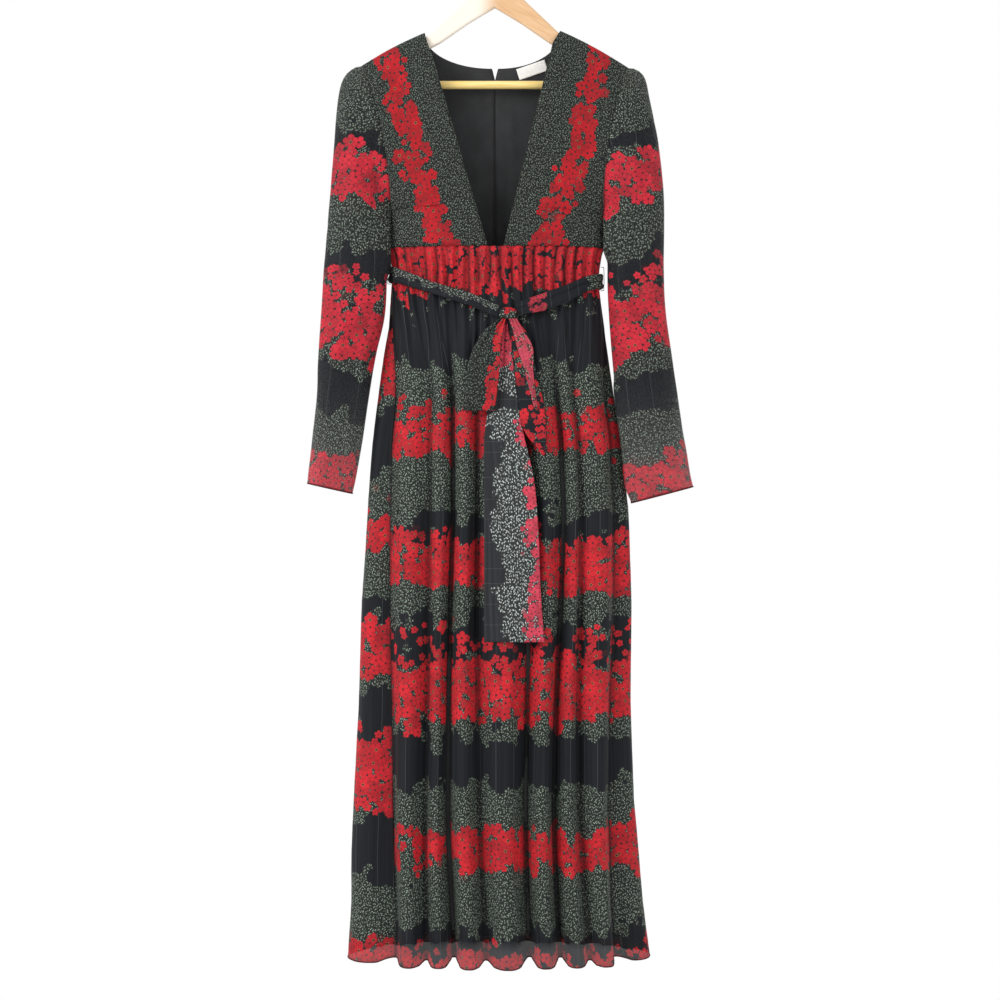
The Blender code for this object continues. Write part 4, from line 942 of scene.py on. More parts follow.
def add_edge(roll: Cloth, finish: PrintedChiffon | Hardware, *nodes: str
             ) -> bpy.types.Object:
    """Make a rolled edge's object, without a wall of its own."""
    mesh = roll.mesh()
    form = bmesh.new()
    form.from_mesh(mesh)
    bmesh.ops.holes_fill(form, edges=form.edges, sides=0)
    bmesh.ops.recalc_face_normals(form, faces=form.faces)
    form.to_mesh(mesh)
    form.free()
    return add_piece(roll.name, mesh, finish, *nodes)


def wave(cloth: Cloth, across: float, along: float, height: float, seed: int) -> Array:
    """Fine crinkles over a cloth, in mm, with the sizes of one crinkle on the flat cloth."""
    return height * ripple(cloth.flat[..., 0] / across + 7.3, cloth.flat[..., 1] / along + 3.1,
                           seed)


# ---------------------------------------------------------------- bodice
@dataclass(frozen=True)
class BodiceSide:
    """The outline of one side of the bodice; x is measured outwards from the centre."""

    side: Side
    neck: tuple[float, float]
    tip: tuple[float, float]
    underarm: tuple[float, float]
    waist: float
    edge_x: tuple[float, ...]
    edge_drop: tuple[float, ...]

    def inner_column(self, front: bool) -> int:
        """The column of a panel's grid at the neck and centre, the last or the first."""
        return -1 if (self.side is Side.LEFT) == front else 0


LEFT_SIDE = BodiceSide(Side.LEFT, (106.5, -4.5), (201.0, 45.0), (160.5, 264.0), 160.5,
                       (106.5, 102.0, 94.5, 11.2), (-4.5, 12.0, 33.0, WAIST_DROP))
RIGHT_SIDE = BodiceSide(Side.RIGHT, (99.0, -7.5), (201.0, 48.0), (166.5, 268.5), 163.5,
                        (99.0, 87.0, 81.0, 13.3), (-7.5, 13.5, 40.0, WAIST_DROP))


@dataclass
class Bodice:
    """Two fronts, two backs and the black lining of the back."""

    armhole_depth: float = 26.0
    armhole_bow: float = 14.0
    neck_depth_front: float = 24.0
    neck_depth_back: float = 22.0
    waist_depth: float = 32.0
    shoulder_arch: float = 3.0
    back_neck_drop: float = 44.0
    notch: tuple[float, float] = (5.0, 62.0)    # half width and foot
    zip_half_gap: float = 0.6
    zip_seams: tuple[float, float] = (9.8, 12.6)    # from the centre, pressed into the lining
    rows: Table = (
        (0, 0.0, 0, -1), (8, 0.0, 3, -1), (18, 0.0, 12, -1), (32, 0.0, 26, -1),
        (50, 0.0, 44, -1), (70, 0.0, 66, -1), (90, 0.0, 90, -1), (110, 0.0, 90, 0.0),
        (130, 0.0, 90, 0.2), (150, 0.0, 90, 0.42), (166, 0.0, 90, 0.6), (180, 0.0, 90, 0.76),
        (180, 0.5, 90, 0.88), (180, 1.0, 90, 1.0))
    rows_each: int = 6
    columns: int = 44
    front_creases: tuple[Crease, ...] = creases(
        (128, 8, 112, 150, 6.0, 0.9, 5), (160, 30, 140, 190, 7.0, 1.2, -8),
        (60, 200, 70, 318, 7.0, 1.0, 4), (100, 190, 92, 318, 6.0, -0.8, 3),
        (150, 200, 120, 300, 6.0, 1.0, 4), (30, 250, 46, 320, 5.0, 0.8),
        (178, 60, 182, 150, 6.0, -0.9), (85, 60, 60, 160, 8.0, -0.7, 3))
    lining_creases: tuple[Crease, ...] = creases(
        (30, 60, 24, 300, 6.0, 0.7, 4), (70, 70, 60, 310, 8.0, -0.9, -5),
        (110, 80, 96, 310, 8.0, 0.9, 4), (50, 180, 40, 318, 5.0, 0.7, 2))
    inner_back: Cloth | None = None

    def armhole(self, side: BodiceSide, turn: Array
                ) -> tuple[Array, Array, Array]:
        """The armhole seam at a turn in degrees: x, depth and drop.

        Args:
            side: Of the bodice.
            turn: 0 at the shoulder to 180 under the arm.

        Returns:
            Three arrays, with x measured outwards.
                """
        angle = np.radians(turn)
        share = (1.0 - np.cos(angle)) / 2
        x = side.tip[0] + (side.underarm[0] - side.tip[0]) * share
        drop = side.tip[1] + (side.underarm[1] - side.tip[1]) * share
        return x - self.armhole_bow * np.abs(np.sin(angle)), \
            self.armhole_depth * np.sin(angle), drop

    def outer_edge(self, side: BodiceSide, turn: Array, share: Array
                   ) -> tuple[Array, Array, Array]:
        """The armhole and side seam end of the rows."""
        x, depth, drop = self.armhole(side, turn)
        return (x + (side.waist - side.underarm[0]) * share, np.maximum(depth, 0.0),
                drop + (WAIST_DROP - side.underarm[1]) * share)

    def centre_depth(self, drop: Array) -> Array:
        """Half depth of the bodice along the centre back."""
        share = (drop - self.back_neck_drop) / (WAIST_DROP - self.back_neck_drop)
        return self.neck_depth_back + (self.waist_depth - self.neck_depth_back) * share

    def back_edge(self, side: BodiceSide, place: Array, neck_turn: Array,
                  share: Array) -> tuple[Array, Array, Array]:
        """The neckline, notch and zip end of the back's rows; place counts the table's rows.

        Args:
            side: Of the bodice.
            place: Rows of the table.
            neck_turn: The turn round the neckline, in degrees.
            share: From the underarm to the waist.

        Returns:
            x, depth and drop of the rows' ends.
                """
        angle = np.radians(neck_turn)
        half, foot = self.notch
        x = half + (side.neck[0] - half) * np.cos(angle)
        drop = side.neck[1] + (self.back_neck_drop - side.neck[1]) * np.sin(angle)
        depth = self.neck_depth_back * np.sqrt(np.maximum(np.sin(angle), 0.0))
        below = foot + (WAIST_DROP - foot) * np.clip(share, 0.0, 1.0)
        notched = np.clip(place - 6.0, 0.0, 1.0)
        x = x + (self.zip_half_gap - x) * notched
        drop = np.where(place < 7.0, drop + (foot - drop) * notched, below)
        depth = np.where(place <= 6.0, depth, self.centre_depth(drop))
        return x, depth, drop

    def front_edge(self, side: BodiceSide, turn: Array, outer_drop: Array
                   ) -> tuple[Array, Array, Array]:
        """The V neck end of the front's rows."""
        share = (outer_drop - side.tip[1]) / (WAIST_DROP - side.tip[1])
        drop = side.neck[1] + (WAIST_DROP - side.neck[1]) * share
        x = np.interp(drop, side.edge_drop, side.edge_x)
        depth = self.neck_depth_front * np.sin(np.radians(np.minimum(turn, 90)))
        return x, depth + (self.waist_depth - self.neck_depth_front) * share, drop

    def face(self, name: str, side: BodiceSide, front: bool) -> Cloth:
        """The outer face of a front or back panel, with its place on the flat cloth.

        Args:
            name: Of the cloth.
            side: Of the bodice.
            front: Whether it is a front.

        Returns:
            The smooth cloth.
                """
        table = np.array(self.rows, float)
        count = (len(table) - 1) * self.rows_each + 1
        place = np.linspace(0, len(table) - 1, count)
        turn, share, neck, back = (np.interp(place, np.arange(len(table)), column)[:, None]
                                   for column in table.T)
        across = (np.linspace(0, 1, self.columns) ** 1.3)[None, :]
        x0, depth0, drop0 = self.outer_edge(side, turn, share)
        if front:
            x1, depth1, drop1 = self.front_edge(side, turn, drop0)
        else:
            x1, depth1, drop1 = self.back_edge(side, place[:, None], neck, back)
        belly = (1.0 - (1.0 - across) ** OVAL) ** (1.0 / OVAL)
        arch = self.shoulder_arch * np.sin(np.pi * across) * np.maximum(0, 1 - turn / 60.0)
        depth = depth0 + (depth1 - depth0) * belly
        x = side.side.sign * (x0 + (x1 - x0) * across)
        spots = at_drop(x, -depth if front else depth, drop0 + (drop1 - drop0) * across - arch)
        inner = side.inner_column(front)
        if inner == 0:
            spots = spots[:, ::-1]
        reach = arc_lengths(spots, 1)
        u = reach - reach[:, inner][:, None] + spots[:, inner, 0][:, None]
        if not front:
            u = -u + 2 * spots[:, inner, 0][:, None]
        return Cloth(name, spots, pairs(u, drops_of(spots)))

    def dress_face(self, cloth: Cloth, creases: tuple[Crease, ...], seed: int) -> Cloth:
        """Add creases, crinkles and rolled-in seams to a panel.

        Args:
            cloth: The smooth panel.
            creases: Placed one by one.
            seed: Of its crinkles.

        Returns:
            The same cloth.
        """
        u, v = np.abs(cloth.flat[..., 0]), cloth.flat[..., 1]
        out = sum(crease.height(u, v) for crease in creases)
        out = out + wave(cloth, 26, 55, 0.55, seed) + wave(cloth, 9, 26, 0.22, seed + 1)
        edge = np.minimum(*(from_ends(arc_lengths(cloth.spots, axis), axis) for axis in (0, 1)))
        return cloth.push(out * smooth_share(edge, 0.0, 9.0) - 0.5 * near(edge, 1.3))

    def build(self) -> None:
        """Make the panels, the lining and the neck's edges."""
        for side in (LEFT_SIDE, RIGHT_SIDE):
            word = side.side.value
            for front, name in ((True, "front"), (False, "back")):
                cloth = self.face(f"bodice_{name}_{word}_cloth", side, front)
                self.dress_face(cloth, self.front_creases, 11 if front else 17)
                thing = cloth.build(BODICE_PRINT, f"bodice_{name}_{word}")
                hem = add_edge(cloth.edge(f"neck_edge_{name}_{word}", (
                    slice(None), side.inner_column(front)), 0.9), BODICE_PRINT)
            self.build_lining(side)

    def build_lining(self, side: BodiceSide) -> None:
        """The black lining of one back, just inside the printed cloth."""
        word = side.side.value
        cloth = self.face(f"bodice_lining_{word}_cloth", side, False)
        turn = np.interp(np.linspace(0, len(self.rows) - 1, cloth.spots.shape[0]),
                         np.arange(len(self.rows)), np.array(self.rows)[:, 0])
        inset = 1.7 + 1.6 * smooth_share(turn, 15, 60)
        cloth.push(-np.repeat(inset[:, None], cloth.spots.shape[1], axis=1))
        if side is RIGHT_SIDE:
            self.inner_back = Cloth("inner", cloth.spots.copy(), cloth.flat)
        u, v = np.abs(cloth.flat[..., 0]), cloth.flat[..., 1]
        out = sum(crease.height(u, v) for crease in self.lining_creases)
        for line in self.zip_seams:
            out = out - 0.35 * near(np.abs(cloth.spots[..., 0]) - line, 0.7) \
                * smooth_share(v, 60, 80)
        edge = from_ends(arc_lengths(cloth.spots, 1), 1)
        cloth.push(np.minimum(out * smooth_share(edge, 0, 12), 0.25))
        thing = cloth.build(LINING, f"bodice_lining_{word}")


# ---------------------------------------------------------------- sleeves
SLEEVE_ROUND = (                # half depth, bow and fold at each ring of either sleeve
    (26, 14, 0.0), (27.5, 12.5, 0.0), (29, 10.5, 0.0), (31, 8, 0.0), (33, 6, 0.0),
    (35.5, 4, 0.6), (38, 2, 1.4), (39, 0, 2.4), (38.5, 0, 3.0), (37, 0, 3.2), (36, 0, 3.0),
    (34, 0, 2.6), (32, 0, 2.2), (30, 0, 2.0), (27, 0, 1.8), (26, 0, 1.6))


@dataclass
class Sleeve:
    """A long set-in sleeve, open at the armhole and the cuff."""

    side: Side
    outline: Table              # outer x, drop; inner x, drop; how far forward
    creases: tuple[Crease, ...]
    columns: int = 80
    row_step: float = 4.8
    radius: float = 38.0        # of the arm that the cloth's width goes round
    laps: tuple[tuple[float, float, float], ...] = ()   # drop, half length and reach

    def spots(self, place: Array, turn: Array) -> Array:
        """Points of the sleeve at rows of the table and turns in radians.

        Args:
            place: Rows of the table.
            turn: 0 at the outer side.

        Returns:
            The grid of points.
                """
        table = np.hstack((self.outline, SLEEVE_ROUND))
        outer_x, outer_drop, inner_x, inner_drop, forward, depth, bow, fold = \
            (column[:, None] for column in curve_through(place, np.arange(len(table)), table).T)
        angle = turn[None, :]
        swell = 1.0 + fold * np.sin(3 * angle) / depth
        x = (outer_x + inner_x) / 2 + (outer_x - inner_x) / 2 * np.cos(angle) * swell
        drop = (outer_drop + inner_drop) / 2 \
            + (outer_drop - inner_drop) / 2 * np.cos(angle) * swell
        fall = np.abs((angle - 2.72 + np.pi) % (2 * np.pi) - np.pi)
        for middle, half, reach in self.laps:
            x = x - reach * near(fall, 0.42) \
                * smooth_share(half - np.abs(drop - middle), 0.0, 24.0)
        return at_drop(self.side.sign * (x - bow * np.abs(np.sin(angle))),
                       -forward - depth * np.sin(angle) * swell, drop)

    def build(self) -> None:
        """Make the sleeve and its rolled cuff."""
        table = np.array(self.outline, float)
        steps = (np.hypot(*np.diff(table[:, :2], axis=0).T)
                 + np.hypot(*np.diff(table[:, 2:4], axis=0).T)) / 2
        length = np.insert(np.cumsum(steps), 0, 0.0)
        rows = int(length[-1] / self.row_step)
        place = np.interp(np.linspace(0, length[-1], rows), length, np.arange(len(table)))
        turn = np.pi + np.linspace(0, 2 * np.pi, self.columns + 1) * -self.side.sign
        spots = self.spots(place, turn)
        drop = drops_of(spots)
        outer = np.interp(drop, table[:, 1], table[:, 0])
        inner = np.interp(drop, table[:, 3], table[:, 2])
        depth, forward = (np.interp(drop, (table[:, 1] + table[:, 3]) / 2, column)
                          for column in (np.array(SLEEVE_ROUND)[:, 0], table[:, 4]))
        beside = (np.abs(spots[..., 0]) - (outer + inner) / 2) / ((outer - inner) / 2)
        angle = np.unwrap(np.arctan2(-(spots[..., 1] + forward) / depth, beside), axis=1)
        around = np.abs(angle - angle[:, :1]) * self.radius
        name = f"sleeve_{self.side.value}"
        cloth = Cloth(name + "_cloth", spots, pairs(around, drop), closed=True)
        out = sum(crease.height(around, drop) for crease in self.creases)
        rim = arc_lengths(spots, 0)
        wrap = smooth_share(np.minimum(around, 2 * np.pi * self.radius - around), 0, 16)
        out = out * wrap + wrap * (wave(cloth, 16, 70, 1.0, 23 + self.side.sign)
                                   + wave(cloth, 7, 30, 0.35, 31))
        out = out * smooth_share(from_ends(rim, 0), 0, 22) - 0.5 * near(rim, 1.5)
        scallop = 0.9 * np.sin(around / 5.5) * near(rim - 7.0, 6.0)
        cloth.push(out + scallop * (drop < 120))
        cloth.flat[..., 0] -= np.pi * self.radius
        thing = cloth.build(SLEEVE_PRINT, name)
        cuff = add_edge(cloth.edge(f"cuff_edge_{self.side.value}", (-1, slice(None)), 1.1),
                        ROLLED)


LEFT_SLEEVE = Sleeve(Side.LEFT, (
    (201.0, 45.0, 160.5, 264.0, 0), (212.0, 49.0, 161.6, 266.0, 0),
    (222.0, 57.0, 162.1, 268.0, 0), (230.0, 71.0, 162.5, 270.0, 0),
    (235.0, 94.0, 162.8, 274.0, 0), (238.5, 130.0, 163.0, 280.0, 0),
    (241.0, 171.0, 163.0, 290.0, 1), (244.5, 228.0, 162.8, 308.0, 2),
    (249.0, 292.0, 162.6, 336.0, 4), (253.5, 352.0, 162.6, 378.0, 7),
    (257.5, 412.0, 166.0, 426.0, 9), (261.0, 472.0, 178.0, 480.0, 11),
    (264.5, 532.0, 188.0, 542.0, 12), (271.0, 596.0, 197.5, 606.0, 12),
    (277.0, 648.0, 207.5, 662.0, 12), (279.0, 671.0, 212.5, 686.0, 12)),
    creases((222, 300, 190, 640, 7, 2.0, -9), (170, 330, 160, 560, 6, -1.6, 6),
            (132, 290, 196, 372, 6, 2.2, 5), (136, 330, 204, 402, 5, 1.8, 5),
            (140, 372, 210, 440, 6, 1.6, 4), (216, 120, 196, 300, 9, 1.8, 5),
            (165, 130, 172, 290, 8, -1.6, 4), (200, 440, 160, 520, 6, 1.4, -4),
            (96, 300, 80, 620, 8, 1.8, 6), (50, 200, 60, 560, 9, -1.6, 6),
            (204, 560, 216, 672, 6, 1.4, 2), (160, 560, 150, 676, 6, 1.3, 2)),
    laps=((310.0, 62.0, 8.0),))
RIGHT_SLEEVE = Sleeve(Side.RIGHT, (
    (201.0, 48.0, 166.5, 268.5, 0), (212.0, 50.5, 167.6, 270.5, 0),
    (221.0, 57.0, 168.1, 272.5, 0), (227.0, 69.0, 168.5, 275.0, 0),
    (232.0, 94.0, 168.8, 279.0, 0), (239.0, 128.0, 169.0, 285.0, 0),
    (246.5, 171.0, 169.0, 295.0, 1), (251.5, 230.0, 169.0, 312.0, 2),
    (252.0, 292.0, 169.0, 340.0, 4), (251.0, 352.0, 169.0, 380.0, 7),
    (253.0, 412.0, 171.0, 428.0, 9), (260.5, 472.0, 175.0, 482.0, 12),
    (269.0, 532.0, 181.0, 546.0, 14), (278.0, 593.0, 190.0, 610.0, 16),
    (288.0, 652.0, 196.5, 674.0, 16), (294.0, 676.0, 203.0, 700.0, 16)),
    creases((20, 130, 34, 320, 9, 1.8, -6), (64, 140, 52, 300, 8, -1.6, 5),
            (26, 330, 84, 420, 6, 2.2, 6), (20, 372, 78, 446, 5, 1.8, 5),
            (24, 300, 80, 372, 6, 1.6, 4), (44, 430, 66, 640, 7, -1.7, 8),
            (86, 400, 92, 600, 7, 1.9, -6), (30, 500, 40, 660, 6, 1.5, 3),
            (140, 240, 160, 620, 8, 1.8, 6), (190, 200, 182, 600, 9, -1.6, 6)),
    laps=((300.0, 46.0, 8.0), (605.0, 95.0, 4.0)))


# ---------------------------------------------------------------- skirt
SKIRT_LEVELS = np.array((
    (320, -160.5, 163.5, 32, 0.0, 1.6), (332, -157.5, 160.0, 32.5, 0.0, 2.8),
    (351, -154.5, 157.0, 33, 0.3, 3.0), (381, -155.5, 157.0, 35, 1.0, 2.8),
    (441, -159.5, 164.5, 38, 2.5, 1.4), (471, -163.0, 167.5, 39.5, 3.8, 0.6),
    (530, -169.0, 173.5, 42, 6.0, 0.0), (606, -176.5, 184.5, 45, 8.2, 0.0),
    (711, -183.0, 194.5, 48, 10.4, 0.0), (846, -191.0, 197.0, 51, 12.4, 0.0),
    (996, -195.5, 195.5, 54, 13.8, 0.0), (1146, -202.0, 199.0, 57, 15.0, 0.0),
    (1221, -205.0, 205.0, 58.5, 15.5, 0.0), (1296, -205.0, 211.0, 60, 16.0, 0.0),
    (1380, -210.0, 221.5, 62, 16.5, 0.0)))      # drop, left, right, half depth, fold, gather
FOLDS = np.array((
    (1, -0.88, -0.725, 0.75, 0.85), (1, -0.553, -0.49, 0.60, 0.55),
    (1, -0.379, -0.316, 1.00, 0.80), (1, -0.165, -0.095, 0.70, 0.95),
    (1, 0.248, 0.223, 1.05, 0.70), (1, 0.518, 0.431, 0.95, 0.60),
    (1, 0.66, 0.62, 0.55, 0.85), (1, 0.96, 0.826, 0.70, 0.65),
    (-1, 0.90, 0.80, 0.85, 0.90), (-1, 0.62, 0.54, 0.95, 0.70),
    (-1, 0.38, 0.31, 0.60, 0.90), (-1, 0.13, 0.10, 0.90, 0.80),
    (-1, -0.12, -0.14, 0.90, 0.75), (-1, -0.38, -0.40, 1.00, 0.90),
    (-1, -0.66, -0.64, 0.70, 0.80), (-1, -0.90, -0.88, 0.80, 0.70)))
# FOLDS: 1 front or -1 back, place at the thigh, place at the hem, valley, ridge
FOLD_PHASES = (0.0, 0.12, 0.28, 0.5, 0.72, 0.88, 1.0)
STEPS = 6
FRONT_CELLS = 42
RING_CELLS = 96
BACK_CENTRE = 69
SKIRT_PANELS = (        # name, first and last cell, flat size, net area, what lies under it
    ("skirt_front", 0, FRONT_CELLS, (0.66, 1.06), 0.56, "skirt_lining_front"),
    ("skirt_back_right", FRONT_CELLS, BACK_CENTRE, (0.42, 1.06), 0.36, "skirt_lining_back"),
    ("skirt_back_left", BACK_CENTRE, RING_CELLS, (0.42, 1.06), 0.36, "skirt_lining_back"))
LINING_PANELS = (("skirt_lining_front", 0, FRONT_CELLS, (0.50, 1.01)),
                 ("skirt_lining_back", FRONT_CELLS, RING_CELLS, (0.56, 1.01)))


@cache
def skirt_level(drop: float) -> tuple[float, ...]:
    """Left, right, half depth, fold and gather of the skirt at a drop."""
    return tuple(float(np.interp(drop, SKIRT_LEVELS[:, 0], column))
                 for column in SKIRT_LEVELS.T[1:])


class Section:
    """The skirt's mean section at one drop, read by turns: 0 to 1 front, 1 to 2 back."""

    def __init__(self, drop: float) -> None:
        """Work the section out."""
        self.left, self.right, self.depth, self.fold, self.gather = skirt_level(drop)
        self.middle = (self.left + self.right) / 2
        self.half = (self.right - self.left) / 2
        angle = np.linspace(0.0, math.pi, 721)
        cosine = np.cos(angle)
        power = 2.0 / OVAL
        self.x = self.middle - self.half * np.sign(cosine) * np.abs(cosine) ** power
        self.y = self.depth * np.abs(np.sin(angle)) ** power
        length = np.insert(np.cumsum(np.hypot(np.diff(self.x), np.diff(self.y))), 0, 0.0)
        self.share = length / length[-1]

    def turn(self, across: float, front: bool) -> float:
        """The turn at a place across the skirt, -1 to 1."""
        place = float(np.interp(self.middle + across * self.half, self.x, self.share))
        return place if front else 2.0 - place

    def place(self, turn: Array) -> tuple[Array, Array]:
        """Points of the mean section."""
        turn = np.asarray(turn, float) % 2.0
        share = np.where(turn <= 1.0, turn, 2.0 - turn)
        sign = np.where(turn <= 1.0, -1.0, 1.0)
        return np.interp(share, self.share, self.x), sign * np.interp(share, self.share, self.y)

    def moved(self, turn: Array, out: Array) -> tuple[Array, Array]:
        """Points of the section moved outwards."""
        x, y = self.place(turn)
        (x0, y0), (x1, y1) = self.place(turn - 0.004), self.place(turn + 0.004)
        size = np.maximum(np.hypot(x1 - x0, y1 - y0), 1e-9)
        return x + (y1 - y0) / size * out, y - (x1 - x0) / size * out


def gather_share(turn: Array) -> Array:
    """The gathers' depth round the skirt: full on the front and back, small at the sides."""
    return 0.35 + 0.65 * np.minimum(1.0, 2.5 * np.abs(np.sin(np.pi * turn)))


def front_reach(drop: Array) -> Array:
    """How far the skirt's front stands out from the dress's middle plane at a drop."""
    depth, fold, gather = (np.interp(drop, SKIRT_LEVELS[:, 0], column)
                           for column in SKIRT_LEVELS.T[3:])
    return depth + fold + gather


def level_drops(table: Table) -> Array:
    """Drops of rows, from spans of first drop, last drop and how many rows."""
    spans = [np.linspace(first, last, count) for first, last, count in table]
    return np.concatenate([spans[0], *(span[1:] for span in spans[1:])])


@dataclass
class Skirt:
    """A gathered skirt in three panels over a shorter black slip."""

    hem_lift: float = 9.0
    mid_drop: float = 606.0
    gathers_end: tuple[float, float] = (340.0, 560.0)
    sharpness: float = 3.2
    finer: int = 6              # columns to a cell
    strip: int = 2              # cells from one gather's valley to the next
    hem_roll: float = 1.0
    hem_fade: tuple[float, float] = (-85.0, 8.0)    # from the hem, where its flutes begin
    tail_height: float = 2.2    # of the gathers that run on below the belt
    tail_end: tuple[float, float] = (360.0, 90.0)   # mean drop where they end, and its spread
    valley_width: float = 3.6
    presses: tuple[float, float] = (2.6, 1.2)       # depth of the folds' and gathers' valleys
    lining_share: float = 0.55  # of the outer folds' height
    lining_inset: Table = ((320, 3.7), (331, 5.4), (460, 6.5), (HEM_DROP, 11.0))
    row_table: Table = ((WAIST_DROP, 520, 41), (520, 1290, 67), (1290, HEM_DROP, 13))
    lining_rows: Table = ((WAIST_DROP, 480, 17), (480, LINING_HEM_DROP, 52))
    # the row tables: first drop, last drop, how many rows

    def turns(self, column: Array, drop: float, section: Section) -> Array:
        """Where the columns lie at a drop: evenly in the gathers, then by the folds.

        Args:
            column: Cells round the skirt, from its left seam.
            drop: Of the row.
            section: There.

        Returns:
            A turn for each column.
                """
        share = min(max((drop - self.mid_drop) / (HEM_DROP - self.mid_drop), 0.0), 1.0)
        valleys = []
        for n in range(len(FOLDS) + 1):
            face, mid, hem, _, _ = FOLDS[n % len(FOLDS)]
            drift = 0.010 * math.sin(drop / 150.0 + 1.9 * (n % len(FOLDS))) \
                * float(smooth_share(drop, 480, 700))
            place = mid + (hem - mid) * share + drift
            valleys.append(section.turn(place, face > 0) + 2.0 * (n // len(FOLDS)))
        number = np.minimum((column // STEPS).astype(int), len(FOLDS) - 1)
        phase = np.interp(column - number * STEPS, np.arange(STEPS + 1), FOLD_PHASES)
        valleys = np.array(valleys)
        folded = valleys[number] + (valleys[number + 1] - valleys[number]) * phase
        even = np.where(column <= FRONT_CELLS, column / FRONT_CELLS,
                        1.0 + (column - FRONT_CELLS) / (RING_CELLS - FRONT_CELLS))
        mix = float(smooth_share(drop, *self.gathers_end))
        return even * (1.0 - mix) + folded * mix

    def fold_height(self, column: Array) -> Array:
        """The height of the folds at the columns, as a share of the level's fold size."""
        number = np.minimum((column // STEPS).astype(int), len(FOLDS) - 1)
        phase = np.interp(column - number * STEPS, np.arange(STEPS + 1), FOLD_PHASES)
        valley = np.where(phase < 0.5, FOLDS[number, 3], FOLDS[(number + 1) % len(FOLDS), 3])
        ridge = FOLDS[number, 4]
        return ridge - (ridge + valley) * np.abs(np.cos(np.pi * phase)) ** self.sharpness

    def gathers(self, column: Array, drop: float) -> Array:
        """Uneven pleats under the seam that run out at different heights, -1 to 1.

        Args:
            column: Cells round the skirt.
            drop: Of the row.

        Returns:
            A height for each column.
                """
        fade = np.ones_like(column)
        for flat in (0, FRONT_CELLS, BACK_CENTRE, RING_CELLS):
            fade = fade * smooth_share(np.abs(column - flat), 0.0, 1.2)
        wander = 0.9 * ripple(column * 0.35, drop / 70.0, 41)
        main = -np.cos(np.pi * column + wander) * (0.8 + 0.35 * ripple(column * 0.8,
                                                                       drop / 50.0, 42))
        small = 0.3 * np.cos(2.0 * np.pi * column + 1.5 * ripple(column * 0.6, drop / 40.0, 43))
        return (main + small) * fade

    def grid(self, columns: Array, drops: Array) -> Array:
        """The outer face at the columns and drops.

        Args:
            columns: Cells round the skirt.
            drops: Of the rows.

        Returns:
            The grid of points.
                """
        height = self.fold_height(columns)
        rows = []
        for drop in drops:
            section = Section(float(drop))
            turn = self.turns(columns, float(drop), section)
            ends = self.tail_end[0] + self.tail_end[1] * ripple(columns * 0.7, 0.5, 44)
            tail = self.tail_height * (1.0 - smooth_share((drop - ends) / 150.0, 0.0, 1.0)) \
                * float(smooth_share(drop, 400, 470))
            out = section.fold * height + (section.gather * gather_share(turn) + tail * 0.5) \
                * self.gathers(columns, float(drop))
            low = float(smooth_share(drop, 430, 620))
            out = out + low * (1.1 * ripple(columns * 0.55 + 2.0, drop / 170.0, 45)
                               + 0.6 * ripple(columns * 1.3, drop / 110.0, 46))
            x, y = section.moved(turn, out)
            lift = self.hem_lift * np.maximum(0.0, -height) \
                * float(smooth_share(drop, *(HEM_DROP + fade for fade in self.hem_fade)))
            rows.append(at_drop(x, y, drop - lift))
        return np.stack(rows)

    def shifts(self, around: Array, drops: Array) -> Array:
        """How far the print moves from the lengths along each row.

        Cloth that lies inside a fold or a gather takes its share of the print with it, so each
        ridge keeps the place that it has at the hem.

        Args:
            around: Lengths along the rows.
            drops: Of the rows.

        Returns:
            A shift for each row and each column of faces.
        """
        cells = np.arange(around.shape[1] - 1) // self.finer
        gather = (cells // self.strip * self.strip + self.strip // 2) * self.finer
        fold = (cells // STEPS * STEPS + STEPS // 2) * self.finer
        folded = smooth_share(drops, 440.0, 560.0)[:, None]
        return (1 - folded) * (around[-1, gather] - around[:, gather]) \
            + folded * (around[-1, fold] - around[:, fold])

    def depths(self, around: Array, drops: Array) -> tuple[Array, Array]:
        """How deep in a fold, and in a gather, every point lies, 0 to 1; it sets the painted shade
        in the valleys and how far they are pressed in.

        Args:
            around: Lengths along the rows.
            drops: Of the rows.

        Returns:
            Shares for the folds and for the gathers.
        """
        columns = np.arange(around.shape[1])
        shares = []
        for every in (STEPS * self.finer, self.strip * self.finer):
            valleys = np.rint(columns / every).astype(int) * every
            away = around - around[:, np.minimum(valleys, columns[-1])]
            shares.append((away, np.rint(columns / every).astype(int)))
        (fold_away, fold), (gather_away, gather) = shares
        strength = np.minimum(FOLDS[fold % len(FOLDS), 3] / 0.85, 1.1)
        folds = near(fold_away, self.valley_width) * strength \
            * smooth_share(drops, 430.0, 560.0)[:, None]
        fade = 1.0 - smooth_share(drops[:, None], 395 + 55 * ripple(gather * 0.7, 0.5, 61),
                                  450 + 75 * ripple(gather * 0.7, 0.5, 61))
        wander = 2.2 * ripple(gather * 0.9, drops[:, None] / 38.0, 63)
        uneven = np.clip(0.7 + 0.7 * ripple(gather * 1.7, drops[:, None] / 30.0, 62), 0.1, 1)
        gathers = np.exp(-np.abs((gather_away + wander) / 2.1) ** 1.6) * fade * uneven
        return folds, gathers

    def build(self) -> None:
        """Make the three panels, their hem and the slip."""
        drops = level_drops(self.row_table)
        ring = np.linspace(0, RING_CELLS, RING_CELLS * self.finer + 1)
        full = self.grid(ring, drops)
        around = arc_lengths(full, 1)
        flat = pairs(around, drops[:, None])
        shifts = self.shifts(around, drops)
        folds, gathers = self.depths(around, drops)
        for name, first, last, size, area, under in SKIRT_PANELS:
            pick = slice(first * self.finer, last * self.finer + 1)
            cloth = Cloth(name + "_cloth", full[:, pick].copy(), flat[:, pick].copy())
            cloth.shifts = shifts[:, first * self.finer:last * self.finer]
